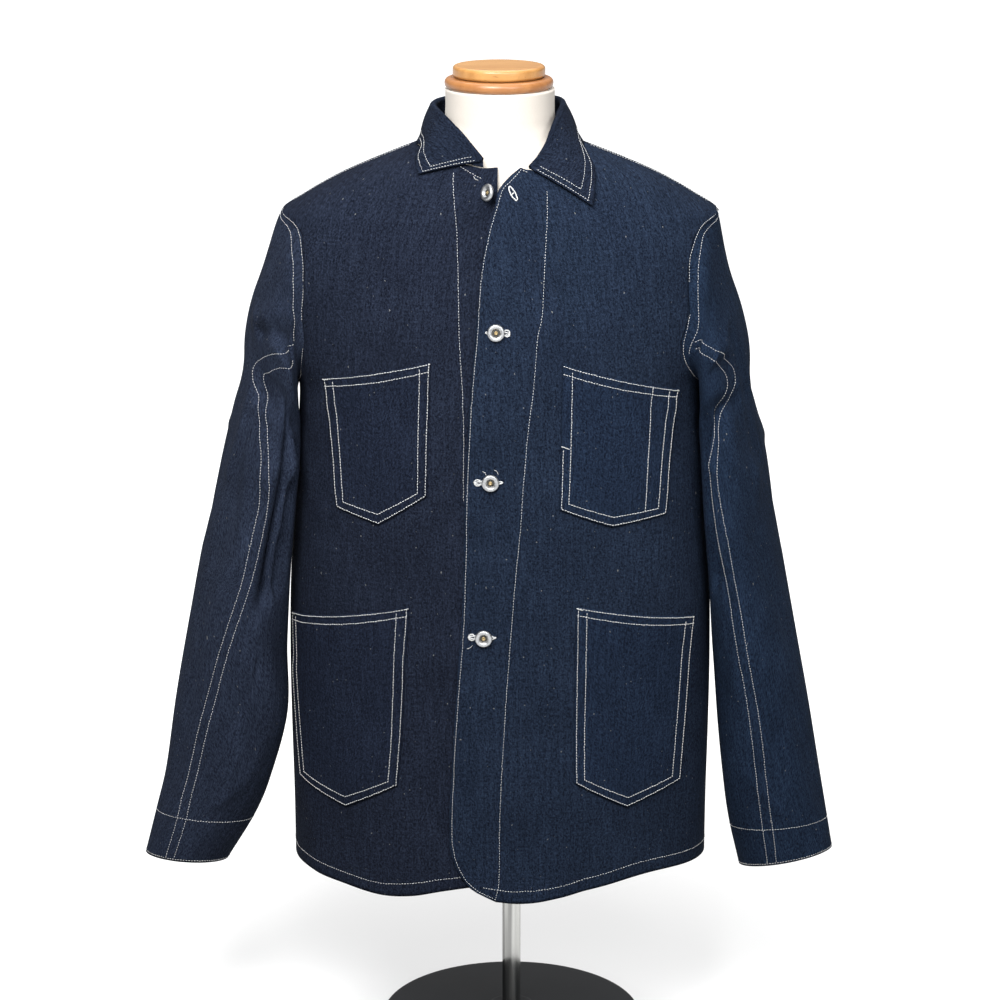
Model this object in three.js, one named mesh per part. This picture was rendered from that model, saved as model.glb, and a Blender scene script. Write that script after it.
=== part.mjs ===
// An indigo denim chore jacket, buttoned left over right, worn on a limbless dress form.
//
// Millimetres, +Z up. The origin is the middle of the stand's base, on the surface it stands on.
// The jacket faces -Y and +X is the right-hand side seen from the front.
//
// Every cloth panel is a wall on one hollow body surface. That surface is a stack of level rings,
// each a rounded oval with its own half width, front depth and back depth. A place on it is an
// angle round the body (0 is the front middle, 90 the wearer's left side) and a height.
// The sleeves are walls round a path of slanted ovals, and they start on the armhole curves.
import * as THREE from 'three';

// Driving dimensions of the cloth
const CLOTH = 1.5;             // wall of the heavy denim
const SEAM_GAP = 0.3;          // between two pieces that are sewn together
const SLEEVE_GAP = 0.6;        // between a sleeve and the panels at the armhole
const POCKET_GAP = 0.9;        // between a pocket and the panel that it lies on
const OVERLAP_LIFT = 2.8;      // the buttoned left front stands this far out over the right one
const FORM_X = -12;            // middle of the jacket and form, beside the pole
const DEGREE_ARC = 2.7;        // mean arc of one degree round the body
const SEAM_REACH = 110;        // distance from the axis at which a seam's gap is exact
const ARMHOLE_CENTRE = { x: 200, z: 780 };
const SECTION_LENGTH = 52;     // mean distance between a sleeve's slanted ovals
const TURN_ARC = 1.15;         // mean arc of one degree round a sleeve

// The right front's free edge rolls back at the open neck, between these angles and heights
const EDGE_ROLL = 9;
const ROLL_ANGLES = { start: -15, full: -2 };
const ROLL_HEIGHTS = { start: 845, full: 885 };

// The left front rides on the right one up to the first angle and lies down by the second
const LIFT_ANGLES = { full: 8, end: 28 };

// How fast the shape of the hem and of the neckline fade out of a panel's rows
const HEM_FADE = 4;
const NECKLINE_FADE = 6;

// Driving heights
const NECK_POINT = 931;        // where the shoulder seam meets the neckline
const SHOULDER_POINT = 867;    // outer end of the shoulder seam
const UNDERARM = 690;
const HEM_LEVEL = 197;         // hem at the side seams

// Rings of the worn body, outer face of the cloth. The shoulders slope where the rings shrink.
const BODY_RINGS = [
  { z: 170, half: 212.0, front: 131.0, back: 118, power: 2.50 },
  { z: 260, half: 212.5, front: 132.0, back: 115, power: 2.50 },
  { z: 340, half: 214.0, front: 132.0, back: 111, power: 2.50 },
  { z: 410, half: 214.5, front: 132.0, back: 109, power: 2.50 },
  { z: 480, half: 213.0, front: 131.5, back: 108, power: 2.50 },
  { z: 545, half: 209.0, front: 131.0, back: 108, power: 2.48 },
  { z: 628, half: 203.0, front: 129.5, back: 110, power: 2.45 },
  { z: 668, half: 201.0, front: 127.5, back: 112, power: 2.45 },
  { z: 690, half: 200.5, front: 126.0, back: 113, power: 2.44 },
  { z: 733, half: 212.0, front: 122.5, back: 112, power: 2.42 },
  { z: 787, half: 222.0, front: 115.5, back: 110, power: 2.38 },
  { z: 836, half: 225.0, front: 106.0, back: 105, power: 2.34 },
  { z: 855, half: 221.0, front: 101.0, back: 102, power: 2.30 },
  { z: 867, half: 213.0, front: 97.5, back: 100, power: 2.30 },
  { z: 877, half: 197.0, front: 94.5, back: 97.5, power: 2.27 },
  { z: 889, half: 177.0, front: 90.5, back: 94, power: 2.25 },
  { z: 902, half: 152.0, front: 84.5, back: 88, power: 2.20 },
  { z: 914, half: 124.0, front: 77.5, back: 80, power: 2.20 },
  { z: 926, half: 94.0, front: 68.0, back: 71, power: 2.15 },
  { z: 931, half: 81.0, front: 62.0, back: 66, power: 2.10 },
  { z: 938, half: 66.0, front: 55.0, back: 60, power: 2.10 },
];

// Largest soft folds of the body: a line from one place to another, its width and its depth.
// A negative depth is a trough.
const BODY_FOLDS = [
  { angle: -21, z: 850, endAngle: -27, endZ: 470, width: 24, depth: -5.0 },
  { angle: -34, z: 840, endAngle: -38, endZ: 560, width: 30, depth: 3.0 },
  { angle: -27, z: 400, endAngle: -24, endZ: 190, width: 26, depth: -5.0 },
  { angle: -46, z: 300, endAngle: -42, endZ: 185, width: 34, depth: 3.5 },
  { angle: 24, z: 300, endAngle: 20, endZ: 185, width: 40, depth: 3.0 },
  { angle: 60, z: 420, endAngle: 56, endZ: 190, width: 44, depth: -4.0 },
  { angle: -66, z: 540, endAngle: -62, endZ: 190, width: 44, depth: -3.0 },
  { angle: 63, z: 640, endAngle: 50, endZ: 790, width: 38, depth: -2.5 },
  { angle: -63, z: 640, endAngle: -52, endZ: 800, width: 38, depth: -2.5 },
  { angle: 128, z: 760, endAngle: 140, endZ: 420, width: 30, depth: -5.0 },
  { angle: 232, z: 780, endAngle: 222, endZ: 460, width: 30, depth: -4.5 },
  { angle: 152, z: 480, endAngle: 156, endZ: 190, width: 34, depth: 4.5 },
  { angle: 186, z: 430, endAngle: 182, endZ: 190, width: 28, depth: -4.5 },
  { angle: 214, z: 460, endAngle: 210, endZ: 190, width: 34, depth: 4.0 },
  { angle: 120, z: 380, endAngle: 118, endZ: 190, width: 26, depth: -3.5 },
];

// Height of the hem and of the neckline all round
const HEM_LINE = [
  { angle: -90, z: 197 }, { angle: -71, z: 196 }, { angle: -59, z: 192 }, { angle: -44, z: 187 },
  { angle: -24, z: 193 }, { angle: -12, z: 199 }, { angle: 8, z: 203 },
];
const LEFT_HEM_LINE = [
  { angle: -22, z: 190 }, { angle: -2, z: 185 }, { angle: 8, z: 183 }, { angle: 24, z: 188 },
  { angle: 41, z: 197 }, { angle: 56, z: 204 }, { angle: 73, z: 202 }, { angle: 90, z: 197 },
];
const BACK_HEM_LINE = [
  { angle: 90, z: 197 }, { angle: 135, z: 191 }, { angle: 180, z: 193 }, { angle: 225, z: 190 },
  { angle: 270, z: 197 },
];
const RIGHT_NECKLINE = [
  { angle: -90, z: 931 }, { angle: -60, z: 929 }, { angle: -40, z: 925 }, { angle: -25, z: 920 },
  { angle: -13, z: 917 }, { angle: 8, z: 917 },
];
const LEFT_NECKLINE = [
  { angle: -22, z: 918 }, { angle: 14, z: 918 }, { angle: 20, z: 915.5 }, { angle: 30, z: 918.5 },
  { angle: 45, z: 924 }, { angle: 60, z: 928 }, { angle: 90, z: 931 },
];
const BACK_NECKLINE = [
  { angle: 90, z: 931 }, { angle: 130, z: 934 }, { angle: 180, z: 936 }, { angle: 230, z: 934 },
  { angle: 270, z: 931 },
];

// Free front edges, rounded off into the hem
const LEFT_FRONT_EDGE = [
  { z: 197, angle: -1.8 }, { z: 205, angle: -10.8 }, { z: 217, angle: -16.5 },
  { z: 236, angle: -20.4 }, { z: 270, angle: -21.4 }, { z: 330, angle: -20 },
  { z: 402, angle: -18 }, { z: 462, angle: -16.4 }, { z: 571, angle: -15.1 },
  { z: 698, angle: -13.2 }, { z: 785, angle: -10.7 }, { z: 863, angle: -6.9 },
  { z: 890, angle: -3.0 }, { z: 910, angle: 0.2 }, { z: 918.5, angle: 5.0 }, { z: 931, angle: 14.4 },
];
const RIGHT_FRONT_EDGE = [
  { z: 190, angle: -14 }, { z: 207, angle: -6 }, { z: 222, angle: -1 }, { z: 250, angle: 1 },
  { z: 462, angle: 3 }, { z: 620, angle: 5 }, { z: 765, angle: 5.5 }, { z: 850, angle: 1.5 },
  { z: 895, angle: -1.6 }, { z: 917, angle: -1.8 },
];

// Armhole curves. share runs from 0 at the shoulder point to 0.5 at the underarm.
const ARMHOLE = [
  { share: 0.00, z: SHOULDER_POINT, right: 90.0, left: 90.0, back: 90.0 },
  { share: 0.05, z: 858, right: 76.5, left: 76.0, back: 103.0 },
  { share: 0.13, z: 834, right: 71.5, left: 69.8, back: 108.5 },
  { share: 0.21, z: 806, right: 70.3, left: 68.0, back: 110.0 },
  { share: 0.30, z: 772, right: 71.0, left: 68.0, back: 109.6 },
  { share: 0.39, z: 736, right: 71.8, left: 66.8, back: 107.7 },
  { share: 0.45, z: 709, right: 77.0, left: 74.0, back: 102.7 },
  { share: 0.50, z: UNDERARM, right: 90.0, left: 90.0, back: 90.0 },
];

// Slanted ovals down each sleeve, as distances from the middle of the body.
// depth is half the oval's front to back size and middle is its place in Y. swing turns its
// front towards the body, and tilt lifts its front.
const RIGHT_SLEEVE = [
  { outerX: 214, outerZ: 867, innerX: 203, innerZ: 690, middle: -1, depth: 70, swing: 0, tilt: 0 },
  { outerX: 225, outerZ: 845, innerX: 203, innerZ: 676, middle: -2, depth: 71, swing: 4, tilt: 0 },
  { outerX: 235, outerZ: 806, innerX: 203.5, innerZ: 659, middle: -4, depth: 72, swing: 13, tilt: 0 },
  { outerX: 245.5, outerZ: 766, innerX: 204.5, innerZ: 638, middle: -8, depth: 73, swing: 19, tilt: 0 },
  { outerX: 252.5, outerZ: 722, innerX: 206.2, innerZ: 612, middle: -13, depth: 74, swing: 21, tilt: 0 },
  { outerX: 262, outerZ: 672, innerX: 208, innerZ: 582, middle: -18, depth: 75, swing: 20, tilt: 1 },
  { outerX: 277, outerZ: 612, innerX: 210.5, innerZ: 545, middle: -22, depth: 75, swing: 19, tilt: 1 },
  { outerX: 296, outerZ: 537, innerX: 213.5, innerZ: 492, middle: -25, depth: 72, swing: 16, tilt: 2 },
  { outerX: 314, outerZ: 452, innerX: 215.5, innerZ: 425, middle: -26, depth: 67, swing: 11, tilt: 3 },
  { outerX: 330, outerZ: 368, innerX: 217, innerZ: 352, middle: -26, depth: 62, swing: 10, tilt: 5 },
  { outerX: 342, outerZ: 292, innerX: 235, innerZ: 283, middle: -26, depth: 56, swing: 8, tilt: 7 },
  { outerX: 353, outerZ: 248, innerX: 252, innerZ: 240, middle: -24, depth: 51, swing: 4, tilt: 8 },
  { outerX: 366, outerZ: 198, innerX: 281, innerZ: 190.5, middle: -22, depth: 45, swing: 0, tilt: 9 },
];
const LEFT_SLEEVE = [
  { outerX: 214, outerZ: 867, innerX: 203, innerZ: 690, middle: -3, depth: 72, swing: 0, tilt: 0 },
  { outerX: 220, outerZ: 843, innerX: 203, innerZ: 676, middle: -4, depth: 73, swing: 4, tilt: 0 },
  { outerX: 227, outerZ: 803, innerX: 203.5, innerZ: 659, middle: -5, depth: 74, swing: 13, tilt: 0 },
  { outerX: 238, outerZ: 763, innerX: 204.5, innerZ: 638, middle: -6, depth: 75, swing: 18, tilt: 0 },
  { outerX: 247, outerZ: 720, innerX: 206.5, innerZ: 612, middle: -8, depth: 76, swing: 19, tilt: 0 },
  { outerX: 254, outerZ: 665, innerX: 208.6, innerZ: 580, middle: -10, depth: 77, swing: 20, tilt: 1 },
  { outerX: 266, outerZ: 605, innerX: 211.5, innerZ: 542, middle: -12, depth: 77, swing: 21, tilt: 1 },
  { outerX: 281, outerZ: 525, innerX: 215, innerZ: 487, middle: -12, depth: 74, swing: 19, tilt: 2 },
  { outerX: 297, outerZ: 450, innerX: 217, innerZ: 425, middle: -12, depth: 70, swing: 14, tilt: 3 },
  { outerX: 314, outerZ: 368, innerX: 222, innerZ: 350, middle: -12, depth: 65, swing: 8, tilt: 5 },
  { outerX: 328, outerZ: 290, innerX: 229, innerZ: 282, middle: -12, depth: 58, swing: 6, tilt: 7 },
  { outerX: 337, outerZ: 240, innerX: 236, innerZ: 232, middle: -12, depth: 52, swing: 3, tilt: 8 },
  { outerX: 344, outerZ: 200, innerX: 248, innerZ: 180, middle: -12, depth: 46, swing: 0, tilt: 9 },
];
// Sections over which a sleeve leaves the armhole curve, at the top and under the arm
const TOP_BLEND = 2.6;
const UNDERARM_BLEND = 0.9;
const UNDERARM_START = -0.55;  // cosine of the turn where the underarm begins
const BLEND_POWER = 1.5;
const FOLD_START = 1.5;        // sections over which the folds grow from the armhole seam
const ROW_CROWDING = 1.12;     // draws the sleeve's rows towards its head
const FIRST_ROW = 0.3;         // no wall direction is worked out closer to the armhole than this
const SEAM_LEAN = 0.1;         // the sleeve's first ring leans out of the armhole

// Small steps over which the slope of a surface is measured: degrees, millimetres and sections
const SLOPE_ANGLE = 0.2;
const SLOPE_HEIGHT = 0.5;
const SLOPE_TURN = 1;
const SLOPE_SECTION = 0.05;

// Largest sleeve folds. turn goes from 0 on the outer side through 90 at the front.
const RIGHT_SLEEVE_FOLDS = [
  { turn: 20, section: 3.1, endTurn: 85, endSection: 2.6, width: 16, depth: 5.0 },
  { turn: 40, section: 4.3, endTurn: 120, endSection: 3.2, width: 18, depth: -8.0 },
  { turn: 75, section: 5.6, endTurn: 125, endSection: 4.4, width: 15, depth: 5.0 },
  { turn: 330, section: 4.4, endTurn: 260, endSection: 3.4, width: 20, depth: -6.0 },
  { turn: 150, section: 8.2, endTurn: 95, endSection: 6.6, width: 22, depth: -4.0 },
  { turn: 300, section: 9.0, endTurn: 240, endSection: 7.4, width: 24, depth: -4.5 },
];
const LEFT_SLEEVE_FOLDS = [
  { turn: 45, section: 3.0, endTurn: 95, endSection: 2.0, width: 16, depth: 5.0 },
  { turn: 60, section: 4.6, endTurn: 120, endSection: 3.4, width: 16, depth: -8.0 },
  { turn: 20, section: 5.6, endTurn: 45, endSection: 3.4, width: 14, depth: -5.0 },
  { turn: 335, section: 4.6, endTurn: 265, endSection: 3.2, width: 20, depth: -6.0 },
  { turn: 140, section: 8.6, endTurn: 90, endSection: 7.0, width: 22, depth: -4.0 },
  { turn: 290, section: 8.6, endTurn: 235, endSection: 7.2, width: 24, depth: -4.5 },
];

// Collar stations from the wearer's right end, round the back, to the left end.
// seam is the angle on the neckline, then the fold's place, then where the outer edge lies.
const COLLAR = [
  { seam: -12, foldX: -17, foldY: -74, foldZ: 924, edge: -47.3, edgeZ: 909, lift: 4.5 },
  { seam: -17, foldX: -26, foldY: -69, foldZ: 934, edge: -51, edgeZ: 914, lift: 4 },
  { seam: -26, foldX: -38, foldY: -61, foldZ: 947, edge: -56, edgeZ: 920, lift: 3.5 },
  { seam: -42, foldX: -54, foldY: -42, foldZ: 960, edge: -64, edgeZ: 928.5, lift: 3.2 },
  { seam: -65, foldX: -63, foldY: -16, foldZ: 965, edge: -78, edgeZ: 932.5, lift: 3 },
  { seam: -90, foldX: -65.5, foldY: 10, foldZ: 966, edge: -97, edgeZ: 933, lift: 3 },
  { seam: -122, foldX: -57, foldY: 42, foldZ: 966, edge: -122, edgeZ: 927, lift: 3.5 },
  { seam: -152, foldX: -33, foldY: 62, foldZ: 967, edge: -150, edgeZ: 918, lift: 3.5 },
  { seam: -180, foldX: 0, foldY: 68, foldZ: 967.5, edge: -180, edgeZ: 915, lift: 3.5 },
  { seam: -208, foldX: 32, foldY: 62, foldZ: 967, edge: -210, edgeZ: 918, lift: 3.5 },
  { seam: -238, foldX: 56, foldY: 42, foldZ: 967, edge: -238, edgeZ: 927, lift: 3.5 },
  { seam: -268, foldX: 62, foldY: 10, foldZ: 966.5, edge: -264, edgeZ: 934, lift: 3 },
  { seam: -292, foldX: 58.5, foldY: -20, foldZ: 962, edge: -285, edgeZ: 931.5, lift: 3.2 },
  { seam: -312, foldX: 52, foldY: -45, foldZ: 951, edge: -297, edgeZ: 924, lift: 3.5 },
  { seam: -324, foldX: 45, foldY: -60, foldZ: 936, edge: -305, edgeZ: 911, lift: 4 },
  { seam: -333, foldX: 37, foldY: -70, foldZ: 925, edge: -311.5, edgeZ: 895, lift: 5 },
  { seam: -339.5, foldX: 29, foldY: -77, foldZ: 917, edge: -315.5, edgeZ: 880, lift: 6 },
];
const COLLAR_WALL = 1.8;
const COLLAR_FOLD_RADIUS = 2.6;
const COLLAR_BULGE = 1.6;      // the fall rounds out between fold and edge
const COLLAR_RISE = 0.5;       // the fall stands off the shoulder up and out, in this proportion

// Patch pockets: each corner is an angle round the body and a height. tip is the bottom point.
const POCKETS = [
  {
    name: 'chest_pocket_right', side: 'right',
    top: [{ angle: -66.2, z: 711 }, { angle: -29.2, z: 736 }],
    bottom: [{ angle: -59.5, z: 585 }, { angle: -45, z: 573 }, { angle: -29.7, z: 604 }],
  },
  {
    name: 'chest_pocket_left', side: 'left',
    top: [{ angle: 26.6, z: 734 }, { angle: 67, z: 699 }],
    bottom: [{ angle: 24.2, z: 591 }, { angle: 42.6, z: 571 }, { angle: 60, z: 578 }],
  },
  {
    name: 'lower_pocket_right', side: 'right',
    top: [{ angle: -80.5, z: 460 }, { angle: -36, z: 491 }],
    bottom: [{ angle: -75, z: 293 }, { angle: -56, z: 276 }, { angle: -39.2, z: 306 }],
  },
  {
    name: 'lower_pocket_left', side: 'left',
    top: [{ angle: 30.3, z: 493 }, { angle: 69.8, z: 467 }],
    bottom: [{ angle: 29.6, z: 310 }, { angle: 48, z: 279 }, { angle: 65.8, z: 298 }],
  },
];
const POCKET_WALL = 1.4;

// Buttons: pressed metal rings with a dished middle
const BUTTON_GAP = 0.85;
const BUTTON_PROFILE = [
  { radius: 0, height: 0 }, { radius: 7.3, height: 0 }, { radius: 8.5, height: 1.4 },
  { radius: 6.7, height: 3.6 }, { radius: 4.7, height: 2.7 }, { radius: 2.4, height: 1.9 },
  { radius: 0, height: 2.4 },
];
const BUTTONS = [
  { name: 'button_1', side: 'right', angle: -9.0, z: 894 },
  { name: 'button_2', side: 'left', angle: -1.8, z: 765 },
  { name: 'button_3', side: 'left', angle: -4.0, z: 619 },
  { name: 'button_4', side: 'left', angle: -6.8, z: 462 },
];

// Dress form and stand. The form carries the jacket on its shoulders, just under the cloth.
const FORM_RINGS = [
  { z: 300, half: 168, front: 108, back: 92, power: 2.3 },
  { z: 380, half: 172, front: 110, back: 94, power: 2.3 },
  { z: 480, half: 160, front: 104, back: 88, power: 2.25 },
  { z: 560, half: 160, front: 106, back: 88, power: 2.25 },
  { z: 660, half: 176, front: 113, back: 96, power: 2.3 },
  { z: 740, half: 187, front: 111, back: 99, power: 2.3 },
  { z: 800, half: 191, front: 101, back: 96, power: 2.3 },
  { z: 838, half: 190, front: 91, back: 92, power: 2.25 },
  { z: 858, half: 183, front: 84, back: 89, power: 2.2 },
  { z: 876, half: 170, front: 77, back: 85, power: 2.2 },
  { z: 888, half: 160, front: 74, back: 82, power: 2.15 },
  { z: 900, half: 147, front: 70, back: 78, power: 2.1 },
  { z: 911.5, half: 124.5, front: 65, back: 72, power: 2.1 },
  { z: 921, half: 101, front: 60, back: 65, power: 2.05 },
  { z: 928, half: 82, front: 57, back: 60, power: 2 },
  { z: 935, half: 65, front: 55, back: 57, power: 2 },
  { z: 946, half: 56, front: 53.5, back: 55, power: 2 },
  { z: 962, half: 53.8, front: 53, back: 53.8, power: 2 },
  { z: 984, half: 53.8, front: 53.5, back: 53.8, power: 2 },
];
const NECK_TOP = 984;
const CAP_RING_RADIUS = 53.4;
const CAP_RING_HEIGHT = 10.5;
const CAP_RING_EDGE = 4.5;
const CAP_TOP_RADIUS = 45.4;
const CAP_TOP_HEIGHT = 11.5;
const CAP_TOP_EDGE = 3;
const CAP_X = -13;
const TOUCH_GAP = 0.3;
const BASE_RADIUS = 135;
const BASE_THICKNESS = 8;
const BASE_EDGE = 2.5;
const SOCKET_RADIUS = 24;
const SOCKET_HEIGHT = 9;
const SOCKET_EDGE = 3;
const POLE_RADIUS = 9.6;

// Grid sizes
const SIDE_LEVELS = [197, 205, 221, 248, 287, 330, 373, 416, 459, 502, 545, 588, 628, 662];
const SHOULDER_LEVELS = [876, 886, 896, 906, 914, 923, 931];
const FRONT_COLUMNS = 15;
const BACK_COLUMNS = 22;
const SLEEVE_SIDES = 20;       // the armhole has a corner at each, so the two edges match
const SLEEVE_STEPS = 20;
const COLLAR_STEPS = 30;
const POCKET_COLUMNS = 8;
const POCKET_ROWS = 8;
const FORM_SIDES = 28;
const CAP_SIDES = 32;
const BASE_SIDES = 48;
const POLE_SIDES = 24;
const BUTTON_SIDES = 16;

const radians = (degrees) => degrees * Math.PI / 180;
const add = (a, b, scale = 1) => [a[0] + b[0] * scale, a[1] + b[1] * scale, a[2] + b[2] * scale];
const subtract = (a, b) => add(a, b, -1);
const mix = (a, b, share) => add(a, subtract(b, a), share);
const cross = (a, b) => [
  a[1] * b[2] - a[2] * b[1], a[2] * b[0] - a[0] * b[2], a[0] * b[1] - a[1] * b[0],
];
const unit = (a) => {
  const size = Math.hypot(...a);
  return a.map((value) => value / size);
};
const smoothstep = (low, high, value) => {
  const share = Math.min(1, Math.max(0, (value - low) / (high - low)));
  return share * share * (3 - 2 * share);
};

// A smooth curve through the rows of a table: column along against column key
function follow(rows, along, key, value) {
  const last = rows.length - 1;
  const place = Math.min(rows[last][along], Math.max(rows[0][along], value));
  let index = 0;
  while (index < last - 1 && place > rows[index + 1][along]) index += 1;
  const step = (i) => rows[i + 1][along] - rows[i][along];
  const rise = (i) => (rows[i + 1][key] - rows[i][key]) / step(i);
  const slope = (i) => {
    if (i === 0) return rise(0);
    if (i === last) return rise(last - 1);
    return (step(i) * rise(i - 1) + step(i - 1) * rise(i)) / (step(i) + step(i - 1));
  };
  const h = step(index);
  const t = (place - rows[index][along]) / h;
  return (2 * t ** 3 - 3 * t ** 2 + 1) * rows[index][key] + (t ** 3 - 2 * t ** 2 + t) * h * slope(index)
    + (3 * t ** 2 - 2 * t ** 3) * rows[index + 1][key] + (t ** 3 - t ** 2) * h * slope(index + 1);
}

// A point of an oval ring at an angle: width over power plus depth over power is one
function ringPoint(rings, angle, z) {
  const half = follow(rings, 'z', 'half', z);
  const power = follow(rings, 'z', 'power', z);
  const across = Math.sin(radians(angle));
  const ahead = Math.cos(radians(angle));
  const depth = follow(rings, 'z', ahead > 0 ? 'front' : 'back', z);
  const radius = (Math.abs(across / half) ** power + Math.abs(ahead / depth) ** power) ** (-1 / power);
  return [radius * across, -radius * ahead, z];
}

// How far a fold, laid along a line, moves the surface out at a distance from that line
function foldDepth(fold, reach) {
  return fold.depth * Math.exp(-((reach / fold.width) ** 2));
}

function distanceToLine(x, y, x0, y0, x1, y1) {
  const length = (x1 - x0) ** 2 + (y1 - y0) ** 2;
  const share = Math.min(1, Math.max(0, ((x - x0) * (x1 - x0) + (y - y0) * (y1 - y0)) / length));
  return Math.hypot(x - x0 - share * (x1 - x0), y - y0 - share * (y1 - y0));
}

function bodyFolds(angle, z) {
  const around = angle < -90 ? angle + 360 : angle;
  return BODY_FOLDS.reduce((sum, fold) => sum + foldDepth(fold, distanceToLine(
    around * DEGREE_ARC, z,
    fold.angle * DEGREE_ARC, fold.z, fold.endAngle * DEGREE_ARC, fold.endZ,
  )), 0);
}

function edgeRoll(angle, z) {
  const across = smoothstep(ROLL_ANGLES.start, ROLL_ANGLES.full, angle);
  return -EDGE_ROLL * across * smoothstep(ROLL_HEIGHTS.start, ROLL_HEIGHTS.full, z);
}

function overlapLift(angle) {
  return OVERLAP_LIFT * (1 - smoothstep(LIFT_ANGLES.full, LIFT_ANGLES.end, angle));
}

const PANEL_SHAPES = {
  right: (angle, z) => bodyFolds(angle, z) + edgeRoll(angle, z),
  left: (angle, z) => bodyFolds(angle, z) + overlapLift(angle),
  back: (angle, z) => bodyFolds(angle, z),
};

// Middle face of the worn cloth with its folds, for one panel
function facePoint(side, angle, z) {
  const point = ringPoint(BODY_RINGS, angle, z);
  const outward = [Math.sin(radians(angle)), -Math.cos(radians(angle)), 0];
  return add(point, outward, PANEL_SHAPES[side](angle, z));
}

function faceNormal(side, angle, z) {
  const around = subtract(
    facePoint(side, angle + SLOPE_ANGLE, z), facePoint(side, angle - SLOPE_ANGLE, z),
  );
  const up = subtract(
    facePoint(side, angle, z + SLOPE_HEIGHT), facePoint(side, angle, z - SLOPE_HEIGHT),
  );
  return unit(cross(around, up));
}

// A point above the panel's outer face by out millimetres
function clothPoint(side, angle, z, out = 0) {
  return add(facePoint(side, angle, z), faceNormal(side, angle, z), out);
}

// Panel rows are level at the sides and bend to the hem below and the neckline above
function levelHeight(hem, neckline, angle, level) {
  const rise = (level - HEM_LEVEL) / (NECK_POINT - HEM_LEVEL);
  const hemShift = follow(hem, 'angle', 'z', angle) - HEM_LEVEL;
  const neckShift = follow(neckline, 'angle', 'z', angle) - NECK_POINT;
  return level + hemShift * (1 - rise) ** HEM_FADE + neckShift * rise ** NECKLINE_FADE;
}

// Every row of a panel: its level, and its share of the armhole where it ends on one
const ARMHOLE_ROWS = Array.from({ length: SLEEVE_SIDES / 2 + 1 }, (_, step) => {
  const share = 0.5 - step / SLEEVE_SIDES;
  return { level: follow(ARMHOLE, 'share', 'z', share), share };
});
const PANEL_ROWS = [
  ...SIDE_LEVELS.map((level) => ({ level })), ...ARMHOLE_ROWS,
  ...SHOULDER_LEVELS.map((level) => ({ level })),
];

// Angle of the side seam, armhole or shoulder seam at a row
function sideAngle(column, row) {
  return row.share === undefined ? 90 : follow(ARMHOLE, 'share', column, row.share);
}

// A closed wall between an outer and an inner grid of points. A tube closes on itself sideways.
function wallGeometry(outer, inner, closedAround = false) {
  const rows = outer.length;
  const columns = outer[0].length;
  const positions = [...outer.flat(), ...inner.flat()].flat();
  const inside = rows * columns;
  const at = (row, column) => row * columns + (column % columns);
  const faces = [];
  const quad = (a, b, c, d) => faces.push(a, b, c, a, c, d);
  const lastColumn = closedAround ? columns : columns - 1;
  for (let row = 0; row < rows - 1; row += 1) {
    for (let column = 0; column < lastColumn; column += 1) {
      const corners = [
        at(row, column), at(row, column + 1), at(row + 1, column + 1), at(row + 1, column),
      ];
      quad(...corners);
      quad(...corners.map((corner) => corner + inside).reverse());
    }
  }
  for (let column = 0; column < lastColumn; column += 1) {
    const low = [at(0, column + 1), at(0, column)];
    const high = [at(rows - 1, column), at(rows - 1, column + 1)];
    quad(low[0], low[1], low[1] + inside, low[0] + inside);
    quad(high[0], high[1], high[1] + inside, high[0] + inside);
  }
  if (!closedAround) {
    for (let row = 0; row < rows - 1; row += 1) {
      const left = [at(row, 0), at(row + 1, 0)];
      const right = [at(row + 1, columns - 1), at(row, columns - 1)];
      quad(left[0], left[1], left[1] + inside, left[0] + inside);
      quad(right[0], right[1], right[1] + inside, right[0] + inside);
    }
  }
  const geometry = new THREE.BufferGeometry();
  geometry.setAttribute('position', new THREE.Float32BufferAttribute(positions, 3));
  geometry.setIndex(faces);
  return geometry;
}

// A front or back panel: angles spread evenly between its two edges at every level
function panelGeometry(side, hem, neckline, edges, columns) {
  const outer = [];
  const inner = [];
  PANEL_ROWS.forEach((row) => {
    const [start, end] = edges(row);
    const outerRow = [];
    const innerRow = [];
    for (let column = 0; column <= columns; column += 1) {
      const angle = start + (end - start) * column / columns;
      const z = levelHeight(hem, neckline, angle, row.level);
      outerRow.push(clothPoint(side, angle, z));
      innerRow.push(clothPoint(side, angle, z, -CLOTH));
    }
    outer.push(outerRow);
    inner.push(innerRow);
  });
  return wallGeometry(outer, inner);
}

const SEAM_ANGLE = SEAM_GAP / 2 / SEAM_REACH * 180 / Math.PI;   // half a seam's gap, as an angle

function rightFrontGeometry() {
  return panelGeometry('right', HEM_LINE, RIGHT_NECKLINE, (row) => [
    SEAM_ANGLE - sideAngle('right', row),
    follow(RIGHT_FRONT_EDGE, 'z', 'angle', row.level),
  ], FRONT_COLUMNS);
}

function leftFrontGeometry() {
  return panelGeometry('left', LEFT_HEM_LINE, LEFT_NECKLINE, (row) => [
    follow(LEFT_FRONT_EDGE, 'z', 'angle', row.level),
    sideAngle('left', row) - SEAM_ANGLE,
  ], FRONT_COLUMNS);
}

function backGeometry() {
  return panelGeometry('back', BACK_HEM_LINE, BACK_NECKLINE, (row) => [
    sideAngle('back', row) + SEAM_ANGLE,
    360 - sideAngle('back', row) - SEAM_ANGLE,
  ], BACK_COLUMNS);
}

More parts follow.
